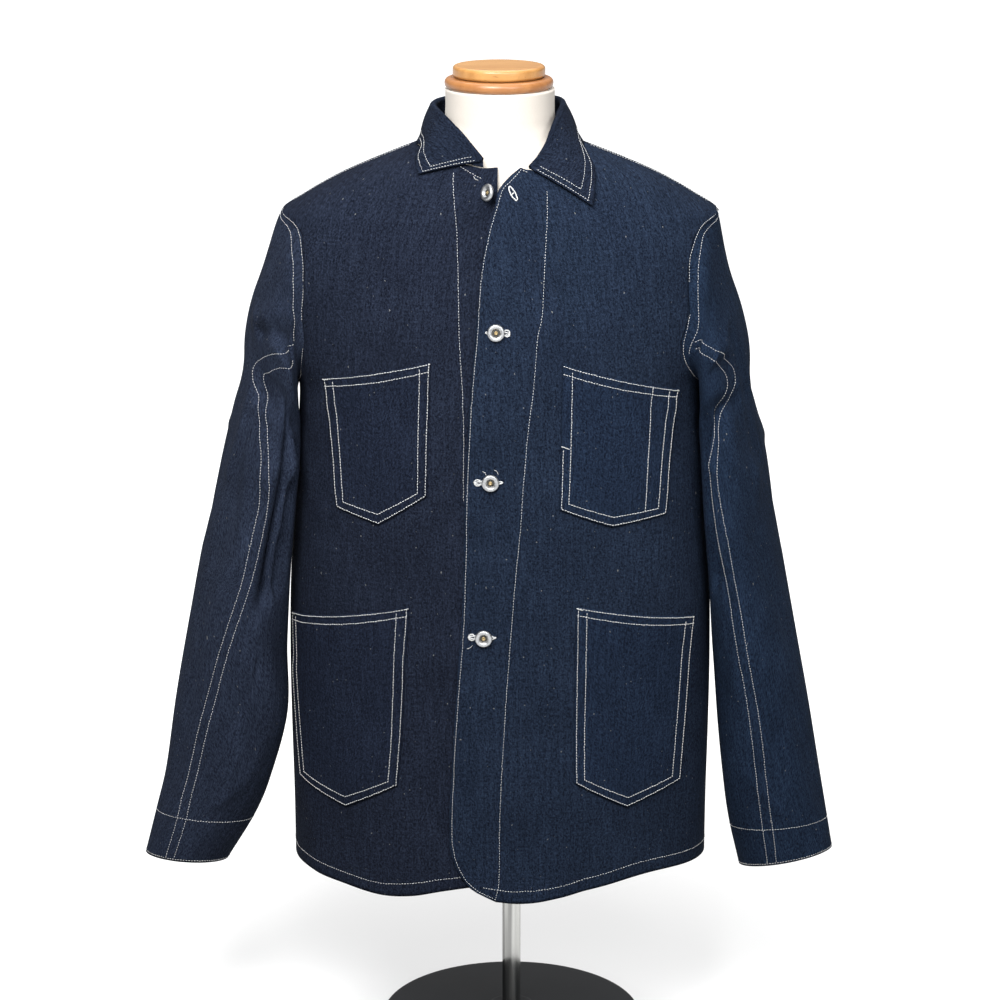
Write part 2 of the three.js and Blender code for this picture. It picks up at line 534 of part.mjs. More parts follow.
// Armhole point for a share of the way round: shoulder, front, underarm, back, shoulder
function armholePoint(side, share, out) {
  const ahead = share <= 0.5;
  const half = ahead ? share : 1 - share;
  const column = ahead ? side : 'back';
  const level = follow(ARMHOLE, 'share', 'z', half);
  const turn = follow(ARMHOLE, 'share', column, half);
  const angle = side === 'right' ? -turn : turn;
  const around = column === 'back' && side === 'right' ? 360 - turn : angle;
  const hem = { right: HEM_LINE, left: LEFT_HEM_LINE, back: BACK_HEM_LINE }[column];
  const neckline = { right: RIGHT_NECKLINE, left: LEFT_NECKLINE, back: BACK_NECKLINE }[column];
  return clothPoint(column, around, levelHeight(hem, neckline, around, level), out);
}

// Point of a sleeve's outer face, before its folds. mirror is -1 for the wearer's right.
function sleeveOval(rows, mirror, turn, section) {
  const row = Object.fromEntries(
    Object.keys(rows[0]).filter((key) => key !== 'section')
      .map((key) => [key, follow(rows, 'section', key, section)]),
  );
  const outerEnd = [row.outerX, row.middle, row.outerZ];
  const innerEnd = [row.innerX, row.middle, row.innerZ];
  const centre = mix(outerEnd, innerEnd, 0.5);
  const ahead = [0, -Math.cos(radians(row.tilt)), Math.sin(radians(row.tilt))];
  const point = add(
    add(centre, subtract(outerEnd, centre), Math.cos(radians(turn))),
    ahead, row.depth * Math.sin(radians(turn)),
  );
  const turnedIn = row.swing * Math.sin(radians(turn));
  return [mirror * (point[0] - turnedIn), point[1], point[2]];
}

const turnShare = (turn) => (((turn % 360) + 360) % 360) / 360;

function sleeveBase(side, rows, turn, section) {
  const mirror = side === 'right' ? -1 : 1;
  const oval = sleeveOval(rows, mirror, turn, section);
  const low = smoothstep(UNDERARM_START, -1, Math.cos(radians(turn)));
  const blend = TOP_BLEND + (UNDERARM_BLEND - TOP_BLEND) * low;
  if (section >= blend) return oval;
  const hold = (1 - section / blend) ** BLEND_POWER;
  return mix(oval, armholePoint(side, turnShare(turn), 0), hold);
}

// Where the sleeve is sewn on: the panel's normal, and the way from the panel into the sleeve
function armholeEdge(side, turn) {
  const start = armholePoint(side, turnShare(turn), 0);
  const normal = unit(subtract(armholePoint(side, turnShare(turn), 1), start));
  const along = subtract(
    armholePoint(side, turnShare(turn + SLOPE_TURN), 0),
    armholePoint(side, turnShare(turn - SLOPE_TURN), 0),
  );
  const centre = [side === 'right' ? -ARMHOLE_CENTRE.x : ARMHOLE_CENTRE.x, 0, ARMHOLE_CENTRE.z];
  const across = unit(cross(normal, along));
  const inwards = subtract(centre, start);
  const facing = across[0] * inwards[0] + across[1] * inwards[1] + across[2] * inwards[2];
  return { start, normal, away: facing > 0 ? across : across.map((value) => -value) };
}

// Wall direction of the sleeve's first ring. Over a ridge it is the panel's own, and in the
// hollow under the arm it lies between the panel's and the sleeve's.
function firstNormal(edge, next) {
  const ahead = next[0] * edge.away[0] + next[1] * edge.away[1] + next[2] * edge.away[2];
  const bent = add(next, edge.away, -Math.max(0, ahead));
  return unit(add(add(edge.normal, bent), edge.away, -SEAM_LEAN));
}

function sleeveNormal(side, rows, turn, section) {
  const low = Math.max(0, section - SLOPE_SECTION);
  const around = subtract(
    sleeveBase(side, rows, turn + SLOPE_TURN, section), sleeveBase(side, rows, turn - SLOPE_TURN, section),
  );
  const along = subtract(
    sleeveBase(side, rows, turn, section + SLOPE_SECTION), sleeveBase(side, rows, turn, low),
  );
  const normal = unit(cross(around, along));
  return side === 'right' ? normal.map((value) => -value) : normal;
}

function sleeveFolds(folds, turn, section) {
  return folds.reduce((sum, fold) => {
    const reach = distanceToLine(
      turn * TURN_ARC, section * SECTION_LENGTH,
      fold.turn * TURN_ARC, fold.section * SECTION_LENGTH,
      fold.endTurn * TURN_ARC, fold.endSection * SECTION_LENGTH,
    );
    return sum + foldDepth(fold, reach);
  }, 0);
}

function sleeveGeometry(side, table, folds) {
  const rows = table.map((row, section) => ({ section, ...row }));
  const outer = [];
  const inner = [];
  for (let step = 0; step <= SLEEVE_STEPS; step += 1) {
    const section = (table.length - 1) * (step / SLEEVE_STEPS) ** ROW_CROWDING;
    const outerRow = [];
    const innerRow = [];
    for (let corner = 0; corner < SLEEVE_SIDES; corner += 1) {
      const turn = 360 * corner / SLEEVE_SIDES;
      const next = sleeveNormal(side, rows, turn, Math.max(section, FIRST_ROW));
      if (step === 0) {
        const edge = armholeEdge(side, turn);
        const first = add(edge.start, edge.away, SLEEVE_GAP);
        outerRow.push(first);
        innerRow.push(add(first, firstNormal(edge, next), -CLOTH));
      } else {
        const depth = sleeveFolds(folds, turn, section) * smoothstep(0, FOLD_START, section);
        const base = sleeveBase(side, rows, turn, section);
        outerRow.push(add(base, next, depth));
        innerRow.push(add(base, next, depth - CLOTH));
      }
    }
    outer.push(outerRow);
    inner.push(innerRow);
  }
  if (side === 'right') {
    outer.forEach((row) => row.reverse());
    inner.forEach((row) => row.reverse());
  }
  return wallGeometry(outer, inner, true);
}

// The collar in one section: up the stand, over the fold and down the fall
const COLLAR_PROFILE = [
  { part: 'stand', share: 0 }, { part: 'stand', share: 0.5 }, { part: 'stand', share: 1 },
  { part: 'fold', share: 0.33 }, { part: 'fold', share: 0.67 },
  { part: 'fall', share: 0 }, { part: 'fall', share: 0.25 }, { part: 'fall', share: 0.5 },
  { part: 'fall', share: 0.75 }, { part: 'fall', share: 1 },
];

function necklineHeight(angle) {
  if (angle >= -90) return follow(RIGHT_NECKLINE, 'angle', 'z', angle);
  if (angle > -270) return follow(BACK_NECKLINE, 'angle', 'z', angle + 360);
  return follow(LEFT_NECKLINE, 'angle', 'z', angle + 360);
}

function collarPoint(rows, station, stop) {
  const row = Object.fromEntries(
    Object.keys(rows[0]).map((key) => [key, follow(rows, 'station', key, station)]),
  );
  const seam = ringPoint(BODY_RINGS, row.seam, necklineHeight(row.seam));
  const fold = [row.foldX, row.foldY, row.foldZ];
  const side = ringPoint(BODY_RINGS, row.edge, row.edgeZ);
  const away = unit([fold[0], fold[1], 0]);
  const edgeAway = [Math.sin(radians(row.edge)), -Math.cos(radians(row.edge)), COLLAR_RISE];
  const edge = add(side, unit(edgeAway), row.lift);
  const start = add(seam, [0, 0, SEAM_GAP + COLLAR_WALL / 2]);
  const inFold = add(fold, away, -COLLAR_FOLD_RADIUS);
  const outFold = add(fold, away, COLLAR_FOLD_RADIUS);
  if (stop.part === 'stand') return mix(start, inFold, stop.share);
  if (stop.part === 'fold') {
    const turn = Math.PI * stop.share;
    const across = add(fold, away, -COLLAR_FOLD_RADIUS * Math.cos(turn));
    return add(across, [0, 0, COLLAR_FOLD_RADIUS * Math.sin(turn)]);
  }
  const bulge = COLLAR_BULGE * Math.sin(Math.PI * stop.share);
  return add(mix(outFold, edge, stop.share), unit(edgeAway), bulge);
}

function collarGeometry() {
  const rows = COLLAR.map((row, station) => ({ station, ...row }));
  const last = COLLAR.length - 1;
  const middle = [];
  for (let step = 0; step <= COLLAR_STEPS; step += 1) {
    middle.push(COLLAR_PROFILE.map((stop) => collarPoint(rows, last * step / COLLAR_STEPS, stop)));
  }
  return thickenGrid(middle, COLLAR_WALL);
}

// A wall of even thickness with its middle on a grid of points
function thickenGrid(grid, wall) {
  const near = (row, column) => {
    const down = Math.min(grid.length - 1, row + 1);
    const up = Math.max(0, row - 1);
    const right = Math.min(grid[0].length - 1, column + 1);
    const left = Math.max(0, column - 1);
    const across = subtract(grid[row][right], grid[row][left]);
    const along = subtract(grid[down][column], grid[up][column]);
    return unit(cross(across, along));
  };
  const offset = (distance) => grid.map((line, row) => line.map(
    (point, column) => add(point, near(row, column), distance),
  ));
  return wallGeometry(offset(wall / 2), offset(-wall / 2));
}

// A patch pocket: straight top and sides, and two bottom edges that meet in a point
function pocketGeometry(pocket) {
  const [topStart, topEnd] = pocket.top;
  const [lowStart, tip, lowEnd] = pocket.bottom;
  const tipShare = (tip.angle - lowStart.angle) / (lowEnd.angle - lowStart.angle);
  const half = POCKET_COLUMNS / 2;
  const outer = [];
  const inner = [];
  for (let row = 0; row <= POCKET_ROWS; row += 1) {
    const up = row / POCKET_ROWS;
    const outerRow = [];
    const innerRow = [];
    for (let column = 0; column <= POCKET_COLUMNS; column += 1) {
      const share = column <= half
        ? tipShare * column / half : tipShare + (1 - tipShare) * (column - half) / half;
      const lowZ = column <= half
        ? lowStart.z + (tip.z - lowStart.z) * column / half
        : tip.z + (lowEnd.z - tip.z) * (column - half) / half;
      const lowAngle = lowStart.angle + (lowEnd.angle - lowStart.angle) * share;
      const topAngle = topStart.angle + (topEnd.angle - topStart.angle) * share;
      const topZ = topStart.z + (topEnd.z - topStart.z) * share;
      const angle = lowAngle + (topAngle - lowAngle) * up;
      const z = lowZ + (topZ - lowZ) * up;
      outerRow.push(clothPoint(pocket.side, angle, z, POCKET_GAP + POCKET_WALL));
      innerRow.push(clothPoint(pocket.side, angle, z, POCKET_GAP));
    }
    outer.push(outerRow);
    inner.push(innerRow);
  }
  return wallGeometry(outer, inner);
}

// A closed solid of level rings, flat at both ends
function ringSolid(rings, levels, sides) {
  const positions = [];
  const faces = [];
  levels.forEach((z) => {
    for (let corner = 0; corner < sides; corner += 1) {
      positions.push(...ringPoint(rings, 360 * corner / sides, z));
    }
  });
  const at = (ring, corner) => ring * sides + (corner % sides);
  for (let ring = 0; ring < levels.length - 1; ring += 1) {
    for (let corner = 0; corner < sides; corner += 1) {
      faces.push(at(ring, corner), at(ring, corner + 1), at(ring + 1, corner + 1));
      faces.push(at(ring, corner), at(ring + 1, corner + 1), at(ring + 1, corner));
    }
  }
  const last = levels.length - 1;
  for (let corner = 1; corner < sides - 1; corner += 1) {
    faces.push(at(0, 0), at(0, corner + 1), at(0, corner));
    faces.push(at(last, 0), at(last, corner), at(last, corner + 1));
  }
  const geometry = new THREE.BufferGeometry();
  geometry.setAttribute('position', new THREE.Float32BufferAttribute(positions, 3));
  geometry.setIndex(faces);
  return geometry;
}

// A turned solid, its profile given from the bottom middle to the top middle
function turned(profile, sides) {
  const points = profile.map(([radius, z]) => new THREE.Vector2(radius, z));
  const geometry = new THREE.LatheGeometry(points, sides);
  geometry.rotateX(Math.PI / 2);
  return geometry;
}

// A disc with rounded edges, from the bottom up
function roundedDisc(radius, height, edge, sides) {
  const profile = [[0, 0]];
  [0, 45, 90].forEach((turn) => profile.push([
    radius - edge + edge * Math.sin(radians(turn)), edge - edge * Math.cos(radians(turn)),
  ]));
  [0, 45, 90].forEach((turn) => profile.push([
    radius - edge + edge * Math.cos(radians(turn)), height - edge + edge * Math.sin(radians(turn)),
  ]));
  profile.push([0, height]);
  return turned(profile, sides);
}

function buttonGeometry(button) {
  const geometry = turned(BUTTON_PROFILE.map((row) => [row.radius, row.height]), BUTTON_SIDES);
  const normal = faceNormal(button.side, button.angle, button.z);
  const turn = new THREE.Quaternion().setFromUnitVectors(
    new THREE.Vector3(0, 0, 1), new THREE.Vector3(...normal),
  );
  geometry.applyQuaternion(turn);
  geometry.translate(...clothPoint(button.side, button.angle, button.z, BUTTON_GAP));
  return geometry;
}

const DENIM = { color: 0x232a38, roughness: 0.95, metalness: 0 };
const POCKET_DENIM = { color: 0x26303f, roughness: 0.95, metalness: 0 };
const BUTTON_METAL = { color: 0xb9bcc0, roughness: 0.3, metalness: 1 };
const FORM_CLOTH = { color: 0xf2ecdd, roughness: 0.9, metalness: 0 };
const WOOD = { color: 0xd9a066, roughness: 0.4, metalness: 0 };
const CHROME = { color: 0xd4d8dc, roughness: 0.12, metalness: 1 };
const BASE_PAINT = { color: 0x2c3034, roughness: 0.45, metalness: 0.2 };

const object = new THREE.Group();
const worn = new THREE.Group();
worn.position.x = FORM_X;
object.add(worn);

function place(parent, name, geometry, finish, z = 0) {
  const mesh = new THREE.Mesh(geometry, new THREE.MeshStandardMaterial(finish));
  mesh.name = name;
  mesh.position.z = z;
  parent.add(mesh);
  return mesh;
}

place(worn, 'back', backGeometry(), DENIM);
place(worn, 'front_right', rightFrontGeometry(), DENIM);
place(worn, 'front_left', leftFrontGeometry(), DENIM);
place(worn, 'sleeve_right', sleeveGeometry('right', RIGHT_SLEEVE, RIGHT_SLEEVE_FOLDS), DENIM);
place(worn, 'sleeve_left', sleeveGeometry('left', LEFT_SLEEVE, LEFT_SLEEVE_FOLDS), DENIM);
place(worn, 'collar', collarGeometry(), DENIM);
POCKETS.forEach((pocket) => place(worn, pocket.name, pocketGeometry(pocket), POCKET_DENIM));
BUTTONS.forEach((button) => place(worn, button.name, buttonGeometry(button), BUTTON_METAL));

const formLevels = FORM_RINGS.map((ring) => ring.z);
place(worn, 'form_torso', ringSolid(FORM_RINGS, formLevels, FORM_SIDES), FORM_CLOTH);
const capRing = roundedDisc(CAP_RING_RADIUS, CAP_RING_HEIGHT, CAP_RING_EDGE, CAP_SIDES);
const capTop = roundedDisc(CAP_TOP_RADIUS, CAP_TOP_HEIGHT, CAP_TOP_EDGE, CAP_SIDES);
const capBottom = NECK_TOP + TOUCH_GAP;
place(object, 'cap_ring', capRing, WOOD, capBottom).position.x = CAP_X;
place(object, 'cap_top', capTop, WOOD, capBottom + CAP_RING_HEIGHT + TOUCH_GAP).position.x = CAP_X;

const socketBottom = BASE_THICKNESS + TOUCH_GAP;
const poleBottom = socketBottom + SOCKET_HEIGHT + TOUCH_GAP;
const poleTop = FORM_RINGS[0].z - TOUCH_GAP;
const base = roundedDisc(BASE_RADIUS, BASE_THICKNESS, BASE_EDGE, BASE_SIDES);
const socket = roundedDisc(SOCKET_RADIUS, SOCKET_HEIGHT, SOCKET_EDGE, POLE_SIDES);
place(object, 'base', base, BASE_PAINT);
place(object, 'pole_socket', socket, BASE_PAINT, socketBottom);
const pole = turned([
  [0, 0], [POLE_RADIUS, 0], [POLE_RADIUS, poleTop - poleBottom], [0, poleTop - poleBottom],
], POLE_SIDES);
place(object, 'pole', pole, CHROME, poleBottom);

export default object;
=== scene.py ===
import math

import bpy
import numpy as np
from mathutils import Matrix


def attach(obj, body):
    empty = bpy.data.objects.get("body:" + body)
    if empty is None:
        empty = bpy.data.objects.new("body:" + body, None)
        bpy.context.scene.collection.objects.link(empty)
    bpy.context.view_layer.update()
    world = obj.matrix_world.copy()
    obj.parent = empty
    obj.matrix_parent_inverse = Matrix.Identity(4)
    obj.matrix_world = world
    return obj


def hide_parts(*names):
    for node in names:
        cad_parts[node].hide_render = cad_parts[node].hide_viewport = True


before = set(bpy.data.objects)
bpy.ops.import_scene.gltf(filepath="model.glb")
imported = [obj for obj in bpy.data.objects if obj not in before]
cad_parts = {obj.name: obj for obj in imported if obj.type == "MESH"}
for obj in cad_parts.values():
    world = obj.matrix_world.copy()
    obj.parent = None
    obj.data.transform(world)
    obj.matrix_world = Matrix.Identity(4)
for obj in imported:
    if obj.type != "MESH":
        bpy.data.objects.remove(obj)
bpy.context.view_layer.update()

# Camera: a long lens a little above the jacket, tilted down at the photograph's angle.
# Every size below is in millimetres in the frame, and MM turns it into Blender's metres.
MM = 0.001
CAMERA_PLACE = (-12, -3225, 1430.5)
CAMERA_TILT = 15.0
CAMERA_LENS = 118.8

camera_data = bpy.data.cameras.new("camera")
camera_data.lens = CAMERA_LENS
camera_data.sensor_width = 36.0
camera = bpy.data.objects.new("camera", camera_data)
camera.location = [value * MM for value in CAMERA_PLACE]
camera.rotation_euler = (math.radians(90 - CAMERA_TILT), 0, 0)
bpy.context.scene.collection.objects.link(camera)
bpy.context.scene.camera = camera
bpy.context.scene.view_settings.view_transform = "Standard"

# Studio light: a white surround, a soft box close above the front of the jacket, so that it grows
# darker towards the hem, a weaker one on the right and one from above behind for the shoulders.
LIGHTS = [
    dict(name="key_light", place=(-450, -1500, 2050), size=1000, power=74.0),
    dict(name="fill_light", place=(900, -1700, 1750), size=1100, power=30.0),
    dict(name="top_light", place=(0, 600, 2500), size=1400, power=26.0),
]
LIGHT_AIM = (0, 0, 760)
SURROUND_SEEN, SURROUND_ABOVE, SURROUND_BELOW = 1.0, 0.46, 0.10
SURROUND_RISE = (-0.35, 0.5)


class Wire:
    """One socket of a material's node tree. + and * with a socket or a number add Math nodes."""

    def __init__(self, tree, socket):
        self.tree = tree
        self.socket = socket

    def node(self, kind, settings=None, links=None, out=0):
        """Any node: its settings first, then the values or sockets of its inputs."""
        made = self.tree.nodes.new(kind)
        for key, value in (settings or {}).items():
            setattr(made, key, value)
        for key, value in (links or {}).items():
            if isinstance(value, Wire):
                self.tree.links.new(value.socket, made.inputs[key])
            else:
                made.inputs[key].default_value = value
        return Wire(self.tree, made.outputs[out])

    def math(self, operation, first, second=0.0):
        return self.node("ShaderNodeMath", {"operation": operation}, {0: first, 1: second})

    def __add__(self, other):
        return self.math("ADD", self, other)

    def __mul__(self, other):
        return self.math("MULTIPLY", self, other)

    def step(self, low, high):
        """0 below low, 1 above high and smooth between them."""
        return self.node("ShaderNodeMapRange", {"interpolation_type": "SMOOTHSTEP"},
                         {"Value": self, "From Min": low, "From Max": high})

    def over(self, below, above):
        """This as a mask between two colours, each a socket or four numbers."""
        return self.node("ShaderNodeMix", {"data_type": "RGBA"}, {0: self, 6: below, 7: above}, out=2)

    def colour(self, low, high):
        """The colour low where this is 0 and high where it is 1."""
        return self.over((*low, 1), (*high, 1))

    def stretch(self, across, along, deep=0.0):
        """A vector scaled unevenly."""
        return self.node("ShaderNodeVectorMath", {"operation": "MULTIPLY"},
                         {0: self, 1: (across, along, deep)})

    def noise(self, scale=1.0, detail=2.0, roughness=0.5):
        """Soft noise from 0 to 1 over this vector."""
        return self.node("ShaderNodeTexNoise", {}, {"Vector": self, "Scale": scale, "Detail": detail,
                                                   "Roughness": roughness})


world = bpy.data.worlds.new("surround")
world.use_nodes = True
world_way = Wire(world.node_tree, world.node_tree.nodes.new("ShaderNodeTexCoord").outputs["Generated"])
world_rise = world_way.node("ShaderNodeSeparateXYZ", {}, {0: world_way}, out=2)
world_strength = world_rise.node("ShaderNodeMapRange", {}, {
    "Value": world_rise, "From Min": SURROUND_RISE[0], "From Max": SURROUND_RISE[1],
    "To Min": SURROUND_BELOW, "To Max": SURROUND_ABOVE})
world_lit, world_seen = [
    world_way.node("ShaderNodeBackground", {}, {"Color": (1, 1, 1, 1), "Strength": strength})
    for strength in (world_strength, SURROUND_SEEN)]
world_camera_ray = world_way.node("ShaderNodeLightPath")
world_choice = world_way.node("ShaderNodeMixShader", {}, {0: world_camera_ray, 1: world_lit, 2: world_seen})
world.node_tree.links.new(world_choice.socket, world.node_tree.nodes["World Output"].inputs["Surface"])
bpy.context.scene.world = world

for row in LIGHTS:
    lamp = bpy.data.lights.new(row["name"], "AREA")
    lamp.shape = "SQUARE"
    lamp.size = row["size"] * MM
    lamp.energy = row["power"]
    holder = bpy.data.objects.new(row["name"], lamp)
    place = np.array(row["place"], dtype=float)
    aim = np.array(LIGHT_AIM, dtype=float) - place
    pitch = math.atan2(math.hypot(aim[0], aim[1]), -aim[2])
    turn = math.atan2(-aim[0], aim[1])
    holder.location = place * MM
    holder.rotation_euler = (pitch, 0, turn)
    bpy.context.scene.collection.objects.link(holder)


# Floor: white paper that glows away from the stand, so that only a faint soft shadow shows by
# the base.
FLOOR_REACH = 60000
FLOOR_GLOW_NEAR, FLOOR_GLOW_FAR = 0.46, 1.0


def finish(name, **constants):
    """A new material. Returns it with its shader, and the constants are set on the shader's own sockets."""
    material = bpy.data.materials.new(name)
    material.use_nodes = True
    shader = material.node_tree.nodes["Principled BSDF"]
    for key, value in constants.items():
        shader.inputs[key.replace("_", " ")].default_value = value
    return material, shader


def plug(material, shader, bump=None, bump_height=0.001, **sockets):
    """Wires sockets into the shader, and a height through a Bump node into its normal."""
    for key, wire in sockets.items():
        material.node_tree.links.new(wire.socket, shader.inputs[key.replace("_", " ")])
    if bump is not None:
        normal = bump.node("ShaderNodeBump", {}, {"Height": bump, "Distance": bump_height, "Strength": 1.0})
        material.node_tree.links.new(normal.socket, shader.inputs["Normal"])


def surface_place(material, kind="UV"):
    """The piece's own UV map, or its Object coordinates, in metres."""
    seat = material.node_tree.nodes.new("ShaderNodeTexCoord")
    return Wire(material.node_tree, seat.outputs[kind])


def mesh_piece(name, points, faces, material, cloth_place=None):
    """A smooth mesh object from points in millimetres, with a UV map in metres where one is given."""
    mesh = bpy.data.meshes.new(name)
    mesh.from_pydata((np.asarray(points) * MM).tolist(), [], list(faces))
    mesh.shade_smooth()
    mesh.materials.append(material)
    if cloth_place is not None:
        corner = np.empty(len(mesh.loops), dtype=np.int32)
        mesh.loops.foreach_get("vertex_index", corner)
        layer = mesh.uv_layers.new(name="cloth")
        layer.data.foreach_set("uv", (cloth_place[corner] * MM).astype(np.float32).ravel())
    piece = bpy.data.objects.new(name, mesh)
    bpy.context.scene.collection.objects.link(piece)
    return piece


def grid_faces(rows, columns, closed=False):
    """Quads between neighbours of a grid of points, the last column joined to the first where closed."""
    row = np.arange(rows - 1)[:, None]
    column = np.arange(columns if closed else columns - 1)[None, :]
    after = (column + 1) % columns
    corners = [row * columns + column, row * columns + after, (row + 1) * columns + after,
               (row + 1) * columns + column]
    return np.stack([corner.ravel() for corner in corners], axis=1).tolist()


floor_finish, floor_shader = finish("floor_paper", Roughness=0.95, Specular_IOR_Level=0.1,
                                    Emission_Strength=1.0)
floor_place = surface_place(floor_finish, "Object")
floor_away = floor_place.node("ShaderNodeVectorMath", {"operation": "LENGTH"}, {0: floor_place}, out=1)
plug(floor_finish, floor_shader,
     Base_Color=floor_place.noise(1.3).colour((0.47, 0.47, 0.47), (0.50, 0.50, 0.50)),
     Emission_Color=floor_away.step(0.2, 1.1).colour((FLOOR_GLOW_NEAR,) * 3, (FLOOR_GLOW_FAR,) * 3))
floor_corners = [(x * FLOOR_REACH, y * FLOOR_REACH, 0) for x, y in ((-1, -1), (1, -1), (1, 1), (-1, 1))]
floor = mesh_piece("floor", floor_corners, [(0, 1, 2, 3)], floor_finish)
floor.visible_diffuse = False


# Base: a spun steel disc with a rolled edge, satin black, and the pole's socket ring on it.
# The pole is a chromed steel tube that goes up into the form.
BASE = dict(radius=135.0, height=8.0, edge=2.5)
SOCKET = dict(radius=24.0, height=9.0, edge=3.0, seat=8.3)
POLE = dict(radius=9.6, height=282.1, edge=0.4, seat=17.6)
TURN_SIDES = 96


def turned(profile, centre_x=0.0, sides=TURN_SIDES):
    """A profile of (radius, height) rows turned about an upright axis, closed at both ends on the axis."""
    radius, height = np.asarray(profile, dtype=float).T
    angle = np.linspace(0, 2 * np.pi, sides, endpoint=False)
    points = np.stack([centre_x + radius[1:-1, None] * np.cos(angle), radius[1:-1, None] * np.sin(angle),
                       np.broadcast_to(height[1:-1, None], (len(radius) - 2, sides))], axis=-1).reshape(-1, 3)
    count = len(radius) - 2
    faces = grid_faces(count, sides, closed=True)
    low, high = len(points), len(points) + 1
    points = np.vstack([points, (centre_x, 0, height[0]), (centre_x, 0, height[-1])])
    around = [(side, (side + 1) % sides) for side in range(sides)]
    faces += [(low, after, before) for before, after in around]
    top = (count - 1) * sides
    faces += [(high, top + before, top + after) for before, after in around]
    return points, faces


def soft_disc(radius, height, edge, seat=0.0):
    """Profile of a disc with quarter-round edges, from the middle of its underside to that of its top."""
    arc = np.linspace(0, np.pi / 2, 7)
    low = [(radius - edge + edge * math.sin(a), seat + edge - edge * math.cos(a)) for a in arc]
    high = [(radius - edge + edge * math.cos(a), seat + height - edge + edge * math.sin(a)) for a in arc]
    rings = [(share * (radius - edge), seat) for share in (0.0, 0.5, 0.96)]
    lids = [(share * (radius - edge), seat + height) for share in (0.96, 0.5, 0.0)]
    return rings + low + high + lids


def lathe_piece(name, profile, material, node, centre_x=0.0):
    """A turned piece in place of its CAD node."""
    points, faces = turned(profile, centre_x)
    piece = mesh_piece(name, points, faces, material)
    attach(piece, "root")
    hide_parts(node)
    return piece


base_finish, base_shader = finish("satin_black_paint", Metallic=0.0, Specular_IOR_Level=0.28)
base_place = surface_place(base_finish, "Object")
base_grain = base_place.noise(900, 3)
base_haze = base_place.noise(14, 3)
plug(base_finish, base_shader, bump=base_grain, bump_height=0.00006,
     Base_Color=base_haze.colour((0.011, 0.012, 0.014), (0.017, 0.019, 0.022)),
     Roughness=base_haze * 0.15 + 0.42)
lathe_piece("stand_base", soft_disc(**BASE), base_finish, "base")
lathe_piece("stand_socket", soft_disc(**SOCKET), base_finish, "pole_socket")

pole_finish, pole_shader = finish("chrome", Metallic=1.0)
pole_place = surface_place(pole_finish, "Object")
pole_smear = pole_place.stretch(150, 150, 4).noise(1.0, 2).step(0.3, 0.7)
plug(pole_finish, pole_shader, Base_Color=pole_smear.colour((0.20, 0.20, 0.195), (0.56, 0.56, 0.54)),
     Roughness=pole_smear * 0.08 + 0.08)
lathe_piece("stand_pole", soft_disc(**POLE), pole_finish, "pole")

# Cap: two turned beech discs, honey lacquered, on the form's neck.
CAP_X = -13.0
CAP_RING = dict(radius=53.4, height=10.5, edge=4.8, seat=984.3)
CAP_TOP = dict(radius=45.4, height=11.5, edge=3.4, seat=995.1)
WOOD_SHADES = [(0.46, 0.205, 0.068), (0.33, 0.125, 0.031), (0.27, 0.11, 0.028), (0.20, 0.075, 0.018)]


def tinted(colour, tint):
    return tuple(a * b for a, b in zip(colour, tint))


def honey_wood(name, tint):
    """Lacquered beech: grain lines along X, a slow bend in tone and fine pores."""
    material, shader = finish(name, Coat_Weight=0.12, Coat_Roughness=0.2)
    place = surface_place(material, "Object")
    bend = place.noise(9, 2)
    line = place.stretch(9, 150, 60).noise(1.0, 5, 0.62)
    pore = place.stretch(90, 1100, 700).noise(1.0, 2).step(0.62, 0.75)
    tone = (line * 0.75 + bend * 0.35).step(0.3, 0.8)
    shades = [tinted(shade, tint) for shade in WOOD_SHADES]
    plug(material, shader, bump=pore, bump_height=-0.00005,
         Base_Color=pore.over(tone.colour(shades[0], shades[1]), tone.colour(shades[2], shades[3])),
         Roughness=line * 0.15 + 0.28)
    return material


# The ring's copy of the wood is tinted darker, painted shade on its side, and the top disc's copy lighter and
# yellower, painted light from above.
lathe_piece("cap_lower", soft_disc(**CAP_RING), honey_wood("honey_wood_ring_painted_shade", (0.80, 0.78, 0.76)),
            "cap_ring", CAP_X)
lathe_piece("cap_upper", soft_disc(**CAP_TOP), honey_wood("honey_wood_top_painted_light", (1.02, 1.18, 1.10)),
            "cap_top", CAP_X)


# Form: a padded torso under a cream jersey cover. Its rings are rounded ovals: the half width and
# depth of a ring to a power add up to one.
FORM_X = -12.0


def named_columns(columns, rows):
    """A table as one array for each named column."""
    return dict(zip(columns.split(), np.asarray(rows, dtype=float).T))


FORM_RINGS = named_columns("z half front back power", [
    (300, 168, 108, 92, 2.3), (380, 172, 110, 94, 2.3), (480, 160, 104, 88, 2.25), (560, 160, 106, 88, 2.25),
    (660, 176, 113, 96, 2.3), (740, 187, 111, 99, 2.3), (800, 191, 101, 96, 2.3), (838, 190, 91, 92, 2.25),
    (858, 183, 84, 89, 2.2), (876, 170, 77, 85, 2.2), (888, 160, 74, 82, 2.15), (900, 147, 70, 78, 2.1),
    (911.5, 124.5, 65, 72, 2.1), (921, 101, 60, 65, 2.05), (928, 82, 57, 60, 2), (935, 65, 55, 57, 2),
    (946, 56, 53.5, 55, 2), (962, 53.8, 53, 53.8, 2), (984, 53.8, 53.5, 53.8, 2),
])


